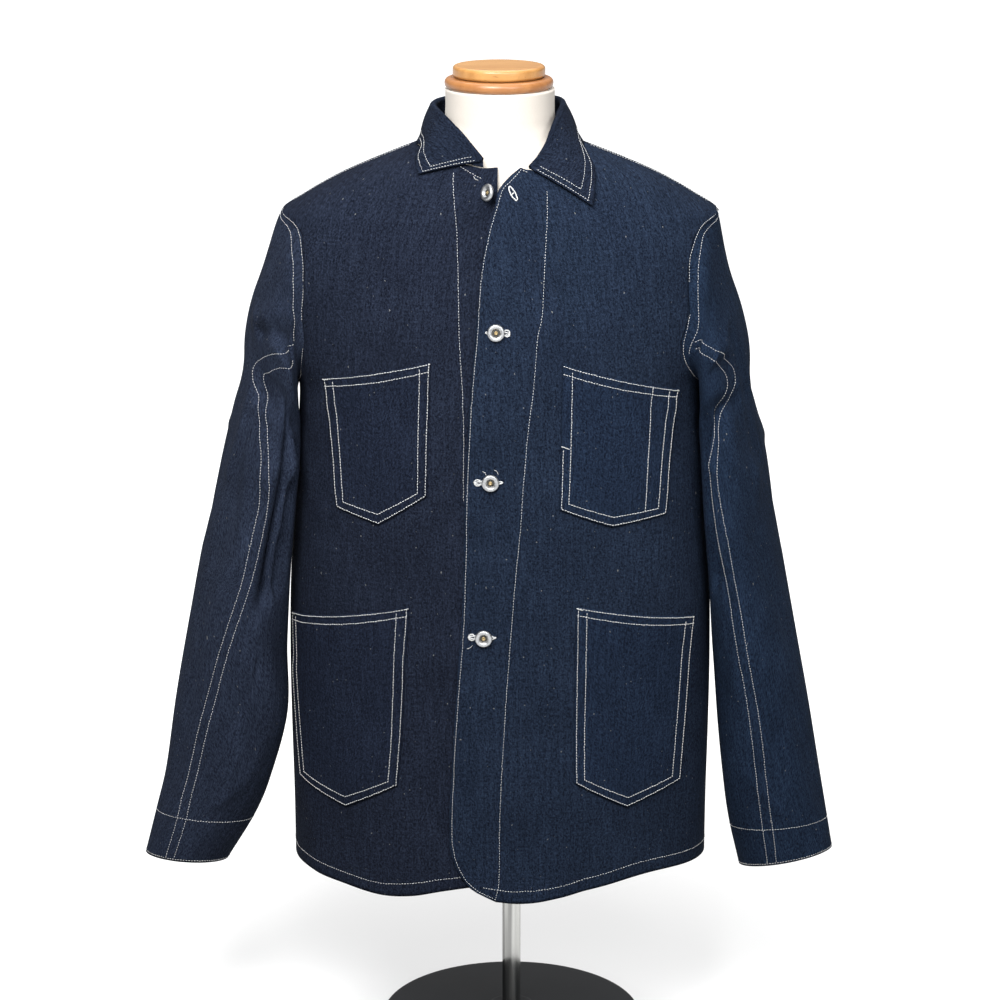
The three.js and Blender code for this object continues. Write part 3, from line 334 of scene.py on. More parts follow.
def follow(table, along, key, place):
    """A smooth curve through a table's rows: cubic pieces whose slopes come from the parabola through
    each three rows, held at the first and last row."""
    x, y = table[along], table[key]
    step = np.diff(x)
    rise = np.diff(y) / step
    slope = np.concatenate([rise[:1], (step[1:] * rise[:-1] + step[:-1] * rise[1:]) / (step[1:] + step[:-1]),
                            rise[-1:]])
    place = np.clip(place, x[0], x[-1])
    i = np.clip(np.searchsorted(x, place) - 1, 0, len(step) - 1)
    t = (place - x[i]) / step[i]
    return ((2 * t**3 - 3 * t**2 + 1) * y[i] + (t**3 - 2 * t**2 + t) * step[i] * slope[i]
            + (3 * t**2 - 2 * t**3) * y[i + 1] + (t**3 - t**2) * step[i] * slope[i + 1])


def ring_point(rings, angle, z):
    """A point of an oval ring: its radius is (|sin/half|^power + |cos/depth|^power)^(-1/power), and the
    angle is 0 at the front middle and 90 at the wearer's left side."""
    angle, z = np.broadcast_arrays(np.asarray(angle, dtype=float), np.asarray(z, dtype=float))
    across, ahead = np.sin(np.radians(angle)), np.cos(np.radians(angle))
    power = follow(rings, "z", "power", z)
    depth = np.where(ahead > 0, follow(rings, "z", "front", z), follow(rings, "z", "back", z))
    half = follow(rings, "z", "half", z)
    radius = (np.abs(across / half) ** power + np.abs(ahead / depth) ** power) ** (-1 / power)
    return np.stack([radius * across, -radius * ahead, z], axis=-1)


form_angles = np.linspace(0, 360, 144, endpoint=False)
form_levels = np.concatenate([np.linspace(300, 860, 90)[:-1], np.linspace(860, 984, 60)])
form_points = ring_point(FORM_RINGS, form_angles[None, :], form_levels[:, None])
form_sides = len(form_angles)
form_faces = grid_faces(len(form_levels), form_sides, closed=True)
form_faces += [list(range(form_sides))[::-1]]
form_faces += [list(range((len(form_levels) - 1) * form_sides, len(form_levels) * form_sides))]

form_finish, form_shader = finish("cream_jersey", Roughness=0.9, Sheen_Weight=0.12, Sheen_Roughness=0.5)
form_place = surface_place(form_finish, "Object")
form_knit = form_place.stretch(1500, 1500, 620).noise(1.0, 2)
form_cloud = form_place.noise(22, 3)
plug(form_finish, form_shader, bump=form_knit, bump_height=0.00015,
     Base_Color=(form_knit * 0.4 + form_cloud * 0.6).colour((0.47, 0.42, 0.37), (0.62, 0.585, 0.53)))
form = mesh_piece("form_body", form_points.reshape(-1, 3) + (FORM_X, 0, 0), form_faces, form_finish)
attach(form, "root")
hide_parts("form_torso")


# Denim: heavy raw indigo twill, dark warp over pale weft, so pale flecks and slubs run down it.
# The UV map of each piece is its flat cut in metres, with the warp along V.
DARK_INDIGO = (0.0022, 0.0032, 0.0068)
PALE_INDIGO = (0.0245, 0.0340, 0.0610)
FLECK = (0.13, 0.135, 0.14)
TWILL_SLOPE, TWILL_PITCH = 0.62, 0.0011
CLOTH = 1.5


def denim(name, tint=(1.0, 1.0, 1.0)):
    """Indigo twill: warp threads, slubs, speckle, a broad cloudy tone and small neps, with a twill bump."""
    material, shader = finish(name, Roughness=1.0, Specular_IOR_Level=0.05)
    place = surface_place(material)
    thread = place.stretch(620, 260).noise(1.0, 2, 0.65).step(0.36, 0.66)
    speck = place.noise(520, 2, 0.7).step(0.42, 0.66)
    streak = place.stretch(300, 26).noise(1.0, 3, 0.6).step(0.4, 0.7)
    weft = place.stretch(95, 620).noise(1.0, 2, 0.5).step(0.5, 0.8)
    cloud = place.noise(15, 3, 0.55)
    nep = place.stretch(300, 240).noise(1.0, 1, 0.4).step(0.735, 0.81)
    axes = [place.node("ShaderNodeSeparateXYZ", {}, {0: place}, out=axis) for axis in (0, 1)]
    rib = place.math("SINE", (axes[0] + axes[1] * TWILL_SLOPE) * (2 * math.pi / TWILL_PITCH)) * 0.5 + 0.5
    tone = (thread * 0.30 + speck * 0.26 + streak * 0.16 + weft * 0.08 + rib * 0.05) * (cloud * 0.9 + 0.55)
    low, high = tinted(DARK_INDIGO, tint), tinted(PALE_INDIGO, tint)
    plug(material, shader, bump=rib * 0.4 + thread * 0.6 + speck * 0.5, bump_height=0.00026,
         Base_Color=nep.over(tone.colour(low, high), nep.colour(low, FLECK)))
    return material


# The left front's copy of the denim is tinted lighter and bluer than the right front's.
front_left_denim = denim("denim_left_front", (1.05, 1.22, 1.26))
front_right_denim = denim("denim_right_front", (1.0, 0.98, 0.97))
back_denim = denim("denim_back")
# The collar's copy of the denim is tinted darker: painted shade.
collar_denim_painted_shade = denim("denim_collar_painted_shade", (0.88, 0.92, 0.93))
# The right sleeve's copy of the denim is tinted much lighter, painted light from the key lamp's side; the
# left sleeve's copy is tinted lighter and bluer.
sleeve_denim = {"right": denim("denim_sleeve_right_painted_light", (1.60, 1.58, 1.52)),
                "left": denim("denim_sleeve_left", (1.0, 1.32, 1.45))}

# Body panels: the back and two fronts, each a wall on one hollow surface of level rings. An angle
# round the body and a height give a place; the soft folds are lines laid on it with a width and depth.
SIDE_SEAM, HEM_LEVEL, UNDERARM, SHOULDER_POINT, NECK_POINT = 90.0, 197.0, 690.0, 867.0, 931.0
DEGREE_ARC = 2.7        # mean arc of one degree round the body
OVERLAP_LIFT = 2.8      # the buttoned left front stands out over the right one
OVERLAP_TURNS = (8, 28)
EDGE_ROLL = 9.0         # the right front's neck corner rolls back
EDGE_ROLL_TURNS, EDGE_ROLL_LEVELS = (-15, -2), (845, 885)

BODY_RINGS = named_columns("z half front back power", [
    (170, 212, 131, 118, 2.50), (260, 212.5, 132, 115, 2.50), (340, 214, 132, 111, 2.50),
    (410, 214.5, 132, 109, 2.50), (480, 213, 131.5, 108, 2.50), (545, 209, 131, 108, 2.48),
    (628, 203, 129.5, 110, 2.45), (668, 201, 127.5, 112, 2.45), (690, 200.5, 126, 113, 2.44),
    (733, 212, 122.5, 112, 2.42), (787, 222, 115.5, 110, 2.38), (836, 225, 106, 105, 2.34),
    (855, 221, 101, 102, 2.30), (867, 213, 97.5, 100, 2.30), (877, 197, 94.5, 97.5, 2.27),
    (889, 177, 90.5, 94, 2.25), (902, 152, 84.5, 88, 2.20), (914, 124, 77.5, 80, 2.20),
    (926, 94, 68, 71, 2.15), (931, 81, 62, 66, 2.10), (938, 66, 55, 60, 2.10),
])
BODY_FOLDS = named_columns("angle z end_angle end_z width depth", [
    (-21, 850, -27, 470, 24, -5), (-34, 840, -38, 560, 30, 3), (-27, 400, -24, 190, 26, -5),
    (-46, 300, -42, 185, 34, 3.5), (24, 300, 20, 185, 40, 3), (60, 420, 56, 190, 44, -4),
    (-66, 540, -62, 190, 44, -3), (63, 640, 50, 790, 38, -2.5), (-63, 640, -52, 800, 38, -2.5),
    (128, 760, 140, 420, 30, -5), (232, 780, 222, 460, 30, -4.5), (152, 480, 156, 190, 34, 4.5),
    (186, 430, 182, 190, 28, -4.5), (214, 460, 210, 190, 34, 4), (120, 380, 118, 190, 26, -3.5),
])
BODY_CREASES = named_columns("angle z end_angle end_z width depth", [
    (-9.0, 868, -14.5, 700, 8, -3.5), (-15.5, 680, -18.5, 480, 8, -3.0), (-27, 840, -24, 600, 11, 2.0),
    (-17, 640, -20, 330, 9, 1.8), (-33, 560, -30, 260, 12, -1.6), (-13, 560, -15, 240, 8, -2.0),
    (-70, 700, -52, 745, 9, -1.5), (-74, 672, -60, 690, 8, 1.2), (71, 702, 52, 752, 9, -1.6),
    (75, 668, 62, 684, 8, 1.2), (37, 262, 33, 192, 12, -1.6), (13, 250, 10, 190, 12, -1.5),
    (-68, 262, -66, 196, 12, 1.5), (-31, 250, -33, 192, 9, 1.4), (80, 560, 77, 380, 12, -1.8),
    (-80, 600, -78, 420, 12, -1.8), (16, 880, 36, 842, 10, 1.0), (-30, 876, -46, 846, 10, 1.0),
    (108, 700, 124, 640, 9, 2.0), (104, 676, 118, 600, 8, -1.8), (252, 704, 238, 640, 9, 2.0),
    (256, 676, 243, 604, 8, -1.8), (170, 640, 166, 470, 12, -1.8), (196, 560, 200, 380, 12, 1.6),
    (140, 300, 144, 200, 12, -1.8), (172, 300, 170, 200, 10, 1.6), (226, 300, 224, 200, 12, -1.8),
    (150, 905, 166, 868, 10, -1.2), (206, 902, 192, 866, 10, -1.2),
])
HEM = {
    "right": named_columns("angle z", [(-90, 197), (-71, 196), (-59, 192), (-44, 187), (-24, 193), (-12, 199),
                                       (8, 203)]),
    "left": named_columns("angle z", [(-22, 190), (-2, 185), (8, 183), (24, 188), (41, 197), (56, 204),
                                      (73, 202), (90, 197)]),
    "back": named_columns("angle z", [(90, 197), (135, 191), (180, 193), (225, 190), (270, 197)]),
}
NECKLINE = {
    "right": named_columns("angle z", [(-90, 931), (-60, 929), (-40, 925), (-25, 920), (-13, 917), (8, 917)]),
    "left": named_columns("angle z", [(-22, 918), (14, 918), (20, 915.5), (30, 918.5), (45, 924), (60, 928),
                                      (90, 931)]),
    "back": named_columns("angle z", [(90, 931), (130, 934), (180, 936), (230, 934), (270, 931)]),
}
LEFT_FRONT_EDGE = named_columns("level angle", [
    (197, -1.8), (205, -10.8), (217, -16.5), (236, -20.4), (270, -21.4), (330, -20), (402, -18), (462, -16.4),
    (571, -15.1), (698, -13.2), (785, -10.7), (863, -6.9), (890, -3.0), (910, 0.2), (918.5, 5.0), (931, 14.4),
])
RIGHT_FRONT_EDGE = named_columns("level angle", [
    (190, -14), (207, -6), (222, -1), (250, 1), (462, 3), (620, 5), (765, 5.5), (850, 1.5), (895, -1.6),
    (917, -1.8),
])
ARMHOLE = named_columns("share z right left back", [
    (0.00, 867, 90, 90, 90), (0.05, 858, 76.5, 76, 103), (0.13, 834, 71.5, 69.8, 108.5),
    (0.21, 806, 70.3, 68, 110), (0.30, 772, 71, 68, 109.6), (0.39, 736, 71.8, 66.8, 107.7),
    (0.45, 709, 77, 74, 102.7), (0.50, 690, 90, 90, 90),
])


def smoothstep(low, high, value):
    share = np.clip((value - low) / (high - low), 0, 1)
    return share * share * (3 - 2 * share)


def line_distance(x, y, x0, y0, x1, y1):
    """Distance of points from a line between two places."""
    length = (x1 - x0) ** 2 + (y1 - y0) ** 2
    share = np.clip(((x - x0) * (x1 - x0) + (y - y0) * (y1 - y0)) / length, 0, 1)
    return np.hypot(x - x0 - share * (x1 - x0), y - y0 - share * (y1 - y0))


def fold_sum(tables, x, y, x_scale, y_scale):
    """The sum of soft folds: each adds its depth times e to minus the distance over the width, squared."""
    total = np.zeros(np.broadcast(x, y).shape)
    for table in tables:
        for x0, y0, x1, y1, width, depth in zip(*table.values()):
            reach = line_distance(x * x_scale, y * y_scale, x0 * x_scale, y0 * y_scale, x1 * x_scale,
                                  y1 * y_scale)
            total += depth * np.exp(-((reach / width) ** 2))
    return total


def body_folds(angle, z):
    around = np.where(angle < -90, angle + 360, angle)
    return fold_sum([BODY_FOLDS, BODY_CREASES], around, z, DEGREE_ARC, 1.0)


def edge_roll(angle, z):
    return -EDGE_ROLL * smoothstep(*EDGE_ROLL_TURNS, angle) * smoothstep(*EDGE_ROLL_LEVELS, z)


def overlap_lift(angle):
    return OVERLAP_LIFT * (1 - smoothstep(*OVERLAP_TURNS, angle))


def face_point(side, angle, z):
    """A point of a panel's outer face: its ring's point, moved straight out by the folds."""
    angle, z = np.broadcast_arrays(np.asarray(angle, dtype=float), np.asarray(z, dtype=float))
    out = body_folds(angle, z)
    if side == "right":
        out = out + edge_roll(angle, z)
    if side == "left":
        out = out + overlap_lift(angle)
    turn = np.radians(angle)
    way = np.stack([np.sin(turn), -np.cos(turn), np.zeros_like(turn)], axis=-1)
    return ring_point(BODY_RINGS, angle, z) + way * out[..., None]


def unit(vectors):
    return vectors / np.linalg.norm(vectors, axis=-1, keepdims=True)


def face_normal(side, angle, z):
    around = face_point(side, angle + 0.2, z) - face_point(side, angle - 0.2, z)
    up = face_point(side, angle, z + 0.5) - face_point(side, angle, z - 0.5)
    return unit(np.cross(around, up))


def cloth_point(side, angle, z, out=0.0):
    """A point over a panel's outer face by out millimetres, in the frame."""
    lift = np.broadcast_to(np.asarray(out, dtype=float), np.broadcast(angle, z).shape)[..., None]
    return face_point(side, angle, z) + face_normal(side, angle, z) * lift


def level_height(side, angle, level):
    """Rows are level at the side seams and bend to the hem below and the neckline above."""
    rise = (level - HEM_LEVEL) / (NECK_POINT - HEM_LEVEL)
    hem_shift = follow(HEM[side], "angle", "z", angle) - HEM_LEVEL
    neck_shift = follow(NECKLINE[side], "angle", "z", angle) - NECK_POINT
    return level + hem_shift * (1 - rise) ** 4 + neck_shift * rise**6


ROWS_BELOW, ROWS_ABOVE = 141, 25        # rows below the armhole and above the shoulder point
ROW_SHARE = np.linspace(0.5, 0.0, 56)
PANEL_LEVELS = np.concatenate([np.linspace(HEM_LEVEL, UNDERARM, ROWS_BELOW + 1)[:-1],
                               follow(ARMHOLE, "share", "z", ROW_SHARE),
                               np.linspace(SHOULDER_POINT, NECK_POINT, ROWS_ABOVE + 1)[1:]])


def side_angles(column):
    """Angle of the side seam, then the armhole, then the shoulder seam, at every row."""
    armhole = follow(ARMHOLE, "share", column, ROW_SHARE)
    return np.concatenate([np.full(ROWS_BELOW, SIDE_SEAM), armhole, np.full(ROWS_ABOVE, SIDE_SEAM)])


def reach_along(points, axis):
    """Length of the way along a grid's rows or columns from their first point to each point."""
    steps = np.cumsum(np.linalg.norm(np.diff(points, axis=axis), axis=-1), axis=axis)
    return np.insert(steps, 0, 0.0, axis=axis)


def cut_place(points):
    """The flat cut: U is the way along each row from the middle column, V the way up each column."""
    across = reach_along(points, 1)
    grain = across[:, (points.shape[1] - 1) // 2][:, None]
    return np.stack([across - grain, reach_along(points, 0)], axis=-1).reshape(-1, 2)


def cloth_piece(name, points, material, node, thickness=CLOTH, closed=False, place=None):
    """A thin shell: the grid is its outer face and Solidify gives it the cloth's thickness inwards."""
    rows, columns = points.shape[:2]
    place = cut_place(points) if place is None else place
    faces = grid_faces(rows, columns, closed)
    piece = mesh_piece(name, points.reshape(-1, 3) + (FORM_X, 0, 0), faces, material, place)
    wall = piece.modifiers.new("wall", "SOLIDIFY")
    wall.thickness = thickness * MM
    wall.offset = -1
    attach(piece, "root")
    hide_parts(node)
    return piece


def panel_piece(side, node, start, end, columns, grain_turn, material):
    """Columns spread evenly between a panel's two edges on every row, cut with its grain up one meridian."""
    share = np.linspace(0, 1, columns)[None, :]
    angle = start[:, None] + (end - start)[:, None] * share
    points = cloth_point(side, angle, level_height(side, angle, PANEL_LEVELS[:, None]))
    across = reach_along(points, 1)
    grain = np.array([np.interp(grain_turn, turns, reach) for turns, reach in zip(angle, across)])
    levels = np.linspace(170, 940, 200)
    rise = reach_along(ring_point(BODY_RINGS, grain_turn, levels), 0)
    place = np.stack([across - grain[:, None], np.interp(points[..., 2], levels, rise)], axis=-1)
    return cloth_piece("jacket_" + node, points, material, node, place=place.reshape(-1, 2))


back = panel_piece("back", "back", side_angles("back"), 360 - side_angles("back"), 130, 180, back_denim)
front_right = panel_piece("right", "front_right", -side_angles("right"),
                          follow(RIGHT_FRONT_EDGE, "level", "angle", PANEL_LEVELS), 92, -35,
                          front_right_denim)
front_left = panel_piece("left", "front_left", follow(LEFT_FRONT_EDGE, "level", "angle", PANEL_LEVELS),
                         side_angles("left"), 96, 35, front_left_denim)


# Sleeves: tubes round a path of slanted ovals that start on the armhole curves and hang free, each
# with a two-piece cut whose front seam is stitched down. A turn of 0 is the outer side, 90 the front.
SECTION_LENGTH = 52.0
TURN_ARC = 1.15
SLEEVE_COLUMNS = "outer_x outer_z inner_x inner_z middle depth swing tilt"
SLEEVES = {
    "right": named_columns(SLEEVE_COLUMNS, [
        (214, 867, 203, 690, -1, 70, 0, 0), (225, 845, 203, 676, -2, 71, 4, 0),
        (235, 806, 203.5, 659, -4, 72, 13, 0), (245.5, 766, 204.5, 638, -8, 73, 19, 0),
        (252.5, 722, 206.2, 612, -13, 74, 21, 0), (262, 672, 208, 582, -18, 75, 20, 1),
        (277, 612, 210.5, 545, -22, 75, 19, 1), (296, 537, 213.5, 492, -25, 72, 16, 2),
        (314, 452, 215.5, 425, -26, 67, 11, 3), (330, 368, 217, 352, -26, 62, 10, 5),
        (342, 292, 235, 283, -26, 56, 8, 7), (353, 248, 252, 240, -24, 51, 4, 8),
        (366, 198, 281, 190.5, -22, 45, 0, 9),
    ]),
    "left": named_columns(SLEEVE_COLUMNS, [
        (214, 867, 203, 690, -3, 72, 0, 0), (220, 843, 203, 676, -4, 73, 4, 0),
        (227, 803, 203.5, 659, -5, 74, 13, 0), (238, 763, 204.5, 638, -6, 75, 18, 0),
        (247, 720, 206.5, 612, -8, 76, 19, 0), (254, 665, 208.6, 580, -10, 77, 20, 1),
        (266, 605, 211.5, 542, -12, 77, 21, 1), (281, 525, 215, 487, -12, 74, 19, 2),
        (297, 450, 217, 425, -12, 70, 14, 3), (314, 368, 222, 350, -12, 65, 8, 5),
        (328, 290, 229, 282, -12, 58, 6, 7), (337, 240, 236, 232, -12, 52, 3, 8),
        (344, 200, 248, 180, -12, 46, 0, 9),
    ]),
}
SLEEVE_FOLDS = {
    "right": named_columns("turn section end_turn end_section width depth", [
        (20, 3.1, 85, 2.6, 16, 5), (40, 4.3, 120, 3.2, 18, -8), (75, 5.6, 125, 4.4, 15, 5),
        (330, 4.4, 260, 3.4, 20, -6), (150, 8.2, 95, 6.6, 22, -4), (300, 9.0, 240, 7.4, 24, -4.5),
    ]),
    "left": named_columns("turn section end_turn end_section width depth", [
        (45, 3.0, 95, 2.0, 16, 5), (60, 4.6, 120, 3.4, 16, -8), (20, 5.6, 45, 3.4, 14, -5),
        (335, 4.6, 265, 3.2, 20, -6), (140, 8.6, 90, 7.0, 22, -4), (290, 8.6, 235, 7.2, 24, -4.5),
    ]),
}
SLEEVE_CREASES = {
    "right": named_columns("turn section end_turn end_section width depth", [
        (34, 2.70, 92, 1.15, 8, 3.5), (28, 3.25, 98, 1.75, 8, -6.5), (34, 4.5, 60, 4.3, 8, -2.5),
        (30, 5.0, 62, 4.75, 8, -2.0),
        (64, 6.9, 44, 5.6, 12, 2.0), (96, 7.6, 122, 6.3, 9, -2.4), (26, 7.8, 40, 6.3, 14, -1.8),
        (84, 9.2, 110, 8.3, 8, -2.0), (30, 10.4, 38, 8.6, 12, -1.5), (96, 10.6, 120, 9.8, 8, 1.6),
        (100, 3.7, 104, 7.2, 12, -18.0), (127, 3.9, 130, 7.0, 10, -14.0), (113, 3.9, 115, 4.9, 6, 4.0),
        (26, 4.2, 20, 6.0, 9, 3.0),
        (345, 6.8, 300, 5.2, 12, -2.4), (320, 5.4, 262, 4.3, 9, 2.6), (300, 7.9, 256, 6.6, 10, 2.0),
        (330, 10.2, 290, 9.0, 10, -1.8), (60, 1.9, 84, 0.9, 10, -1.5), (300, 2.0, 276, 0.9, 10, -1.5),
    ]),
    "left": named_columns("turn section end_turn end_section width depth", [
        (34, 3.5, 74, 2.6, 7, 3.0), (74, 2.6, 112, 1.2, 7, 2.4), (34, 4.55, 66, 4.3, 8, -3.5),
        (58, 4.3, 120, 3.0, 9, -4.5), (14, 4.6, 34, 3.0, 8, -3.0), (92, 5.1, 118, 4.2, 6, 2.6),
        (30, 6.2, 60, 5.4, 10, 2.0), (98, 7.4, 122, 6.1, 9, -2.4), (24, 8.2, 44, 6.8, 14, -1.8),
        (76, 9.4, 104, 8.5, 9, -2.0), (26, 10.6, 42, 9.2, 12, -1.5), (88, 10.7, 112, 10.0, 8, 1.6),
        (120, 3.9, 127, 6.8, 12, -15.0), (28, 4.4, 22, 6.0, 9, 3.0),
        (342, 6.8, 298, 5.3, 12, -2.4), (322, 5.5, 262, 4.2, 9, 2.6), (300, 8.0, 254, 6.7, 10, 2.0),
        (330, 10.3, 288, 9.1, 10, -1.8), (62, 1.9, 84, 0.9, 10, -1.5), (298, 2.0, 276, 0.9, 10, -1.5),
    ]),
}
TOP_BLEND, UNDERARM_BLEND, UNDERARM_START = 2.6, 0.9, -0.55
SLEEVE_SIDES, SLEEVE_ROWS_DOWN, SLEEVE_SPREAD, LAST_SECTION = 100, 190, 1.12, 12
for sleeve_table in SLEEVES.values():
    sleeve_table["section"] = np.arange(len(sleeve_table["depth"]), dtype=float)


def armhole_point(side, share, out=0.0):
    """Armhole point for a share of the way round: shoulder, front, underarm, back, shoulder."""
    share = np.asarray(share, dtype=float) % 1.0
    half = np.where(share <= 0.5, share, 1 - share)
    level = follow(ARMHOLE, "share", "z", half)
    front = follow(ARMHOLE, "share", side, half) * (-1 if side == "right" else 1)
    back_turn = follow(ARMHOLE, "share", "back", half)
    behind = 360 - back_turn if side == "right" else back_turn
    ahead_point = cloth_point(side, front, level_height(side, front, level), out)
    back_point = cloth_point("back", behind, level_height("back", behind, level), out)
    return np.where((share <= 0.5)[..., None], ahead_point, back_point)


def sleeve_base(side, turn, section):
    """Point of a sleeve before its folds: a slanted oval, drawn to the armhole curve near its head."""
    row = {key: follow(SLEEVES[side], "section", key, section) for key in SLEEVE_COLUMNS.split()}
    angle, tilt = np.radians(turn), np.radians(row["tilt"])
    centre_x, centre_z = (row["outer_x"] + row["inner_x"]) / 2, (row["outer_z"] + row["inner_z"]) / 2
    x = centre_x + (row["outer_x"] - centre_x) * np.cos(angle) - row["swing"] * np.sin(angle)
    y = row["middle"] - row["depth"] * np.cos(tilt) * np.sin(angle)
    z = centre_z + (row["outer_z"] - centre_z) * np.cos(angle) + row["depth"] * np.sin(tilt) * np.sin(angle)
    oval = np.stack([x * (-1 if side == "right" else 1), y, z], axis=-1)
    low = smoothstep(UNDERARM_START, -1, np.cos(angle))
    blend = TOP_BLEND + (UNDERARM_BLEND - TOP_BLEND) * low
    hold = (np.clip(1 - section / blend, 0, 1) ** 1.5)[..., None]
    return oval + (armhole_point(side, turn / 360) - oval) * hold


def sleeve_normal(side, turn, section):
    around = sleeve_base(side, turn + 1, section) - sleeve_base(side, turn - 1, section)
    along = sleeve_base(side, turn, section + 0.05) - sleeve_base(side, turn, np.maximum(section - 0.05, 0))
    return unit(np.cross(around, along)) * (-1 if side == "right" else 1)


def sleeve_folds(side, turn, section):
    return fold_sum([SLEEVE_FOLDS[side], SLEEVE_CREASES[side]], turn % 360, section, TURN_ARC, SECTION_LENGTH)


def sleeve_point(side, turn, section, out=0.0):
    """A point over a sleeve's outer face by out millimetres."""
    turn, section = np.broadcast_arrays(np.asarray(turn, dtype=float), np.asarray(section, dtype=float))
    normal = sleeve_normal(side, turn, np.maximum(section, 0.3))
    depth = sleeve_folds(side, turn, section) * smoothstep(0, 1.5, section) + out
    return sleeve_base(side, turn, section) + normal * depth[..., None]


sleeve_turns = np.linspace(0, 360, SLEEVE_SIDES, endpoint=False)[None, :]
sleeve_sections = (LAST_SECTION * np.linspace(0, 1, SLEEVE_ROWS_DOWN) ** SLEEVE_SPREAD)[:, None]
sleeve_grids = {side: sleeve_point(side, sleeve_turns, sleeve_sections) for side in ("right", "left")}
for side, grid in sleeve_grids.items():
    grid = grid[:, ::-1] if side == "right" else grid
    sleeve = cloth_piece("jacket_sleeve_" + side, grid, sleeve_denim[side], "sleeve_" + side, closed=True)
    "jacket_front_" + side


# Collar: one fold of two layers, a stand sewn to the neckline and a fall turned down over it.
COLLAR = named_columns("seam fold_x fold_y fold_z edge edge_z lift", [
    (-12, -17, -74, 924, -47.3, 909, 4.5), (-17, -26, -69, 934, -51, 914, 4),
    (-26, -38, -61, 947, -56, 920, 3.5), (-42, -54, -42, 960, -64, 928.5, 3.2),
    (-65, -63, -16, 965, -78, 932.5, 3), (-90, -65.5, 10, 966, -97, 933, 3),
    (-122, -57, 42, 966, -122, 927, 3.5), (-152, -33, 62, 967, -150, 918, 3.5),
    (-180, 0, 68, 967.5, -180, 915, 3.5), (-208, 32, 62, 967, -210, 918, 3.5),
    (-238, 56, 42, 967, -238, 927, 3.5), (-268, 62, 10, 966.5, -264, 934, 3),
    (-292, 58.5, -20, 962, -285, 931.5, 3.2), (-312, 52, -45, 951, -297, 924, 3.5),
    (-324, 45, -60, 936, -305, 911, 4), (-333, 37, -70, 925, -311.5, 895, 5),
    (-339.5, 29, -77, 917, -315.5, 880, 6),
])
COLLAR["station"] = np.arange(len(COLLAR["seam"]), dtype=float)
COLLAR_WALL, COLLAR_FOLD_RADIUS, COLLAR_BULGE = 1.8, 2.6, 1.6
STAND_END, FALL_START, LAST_STATION = 0.4, 0.5, 16


def neckline_height(angle):
    """Height of the neckline for an angle from -12 back round to -340."""
    left = follow(NECKLINE["left"], "angle", "z", angle + 360)
    back_height = follow(NECKLINE["back"], "angle", "z", angle + 360)
    right = follow(NECKLINE["right"], "angle", "z", angle)
    return np.where(angle >= -90, right, np.where(angle > -270, back_height, left))


def collar_place(station, across):
    """The collar's middle face: across is 0 at the neckline and 1 at the fall's edge, and between the
    stand's end and the fall's start it goes over the fold."""
    row = {key: follow(COLLAR, "station", key, station) for key in COLLAR}
    seam = ring_point(BODY_RINGS, row["seam"], neckline_height(row["seam"]))
    fold = np.stack([row["fold_x"], row["fold_y"], row["fold_z"]], axis=-1)
    away = unit(fold * (1, 1, 0))
    turn = np.radians(row["edge"])
    edge_away = unit(np.stack([np.sin(turn), -np.cos(turn), np.full_like(turn, 0.5)], axis=-1))
    edge = ring_point(BODY_RINGS, row["edge"], row["edge_z"]) + edge_away * row["lift"][..., None]
    start = seam + (0, 0, 0.3 + COLLAR_WALL / 2)
    stand_share = np.clip(across / STAND_END, 0, 1)[..., None]
    fall_share = np.clip((across - FALL_START) / (1 - FALL_START), 0, 1)[..., None]
    curl = (np.clip((across - STAND_END) / (FALL_START - STAND_END), 0, 1) * np.pi)[..., None]
    reach, rise = away * COLLAR_FOLD_RADIUS, np.array((0, 0, COLLAR_FOLD_RADIUS))
    stand = start + (fold - reach - start) * stand_share
    bend = fold - reach * np.cos(curl) + rise * np.sin(curl)
    out_fold = fold + reach
    fall = out_fold + (edge - out_fold) * fall_share + edge_away * COLLAR_BULGE * np.sin(np.pi * fall_share)
    part = across[..., None]
    return np.where(part < STAND_END, stand, np.where(part < FALL_START, bend, fall))


collar_across = np.concatenate([np.linspace(0, STAND_END, 14)[:-1],
                                np.linspace(STAND_END, FALL_START, 9)[:-1], np.linspace(FALL_START, 1, 22)])
collar_points = collar_place(*np.meshgrid(np.linspace(0, LAST_STATION, 190), collar_across, indexing="ij"))
collar = cloth_piece("jacket_collar", collar_points, collar_denim_painted_shade, "collar", thickness=COLLAR_WALL)
collar.modifiers["wall"].offset = 0


# Patch pockets: straight tops with a turned hem, and two bottom edges that meet in a point. They
# lie on the fronts, pressed down at the stitched edges.
POCKETS = {
    "chest_pocket_right": dict(flat=(0.13, 0.17), area=0.0165, side="right", top=[(-66.2, 711), (-29.2, 736)],
                               bottom=[(-59.5, 585), (-45, 573), (-29.7, 604)]),
    "chest_pocket_left": dict(flat=(0.14, 0.17), area=0.019, side="left", top=[(26.6, 734), (67, 699)],
                              bottom=[(24.2, 591), (42.6, 571), (60, 578)]),
    "lower_pocket_right": dict(flat=(0.17, 0.23), area=0.031, side="right", top=[(-80.5, 460), (-36, 491)],
                               bottom=[(-75, 293), (-56, 276), (-39.2, 306)]),
    "lower_pocket_left": dict(flat=(0.15, 0.23), area=0.029, side="left", top=[(30.3, 493), (69.8, 467)],
                              bottom=[(29.6, 310), (48, 279), (65.8, 298)]),
}
POCKET_WALL, POCKET_LIFT, POCKET_PUFF = 1.4, 2.0, 0.5
PRESSED_SHARE = 1 / 14      # the stitched border's share of the width


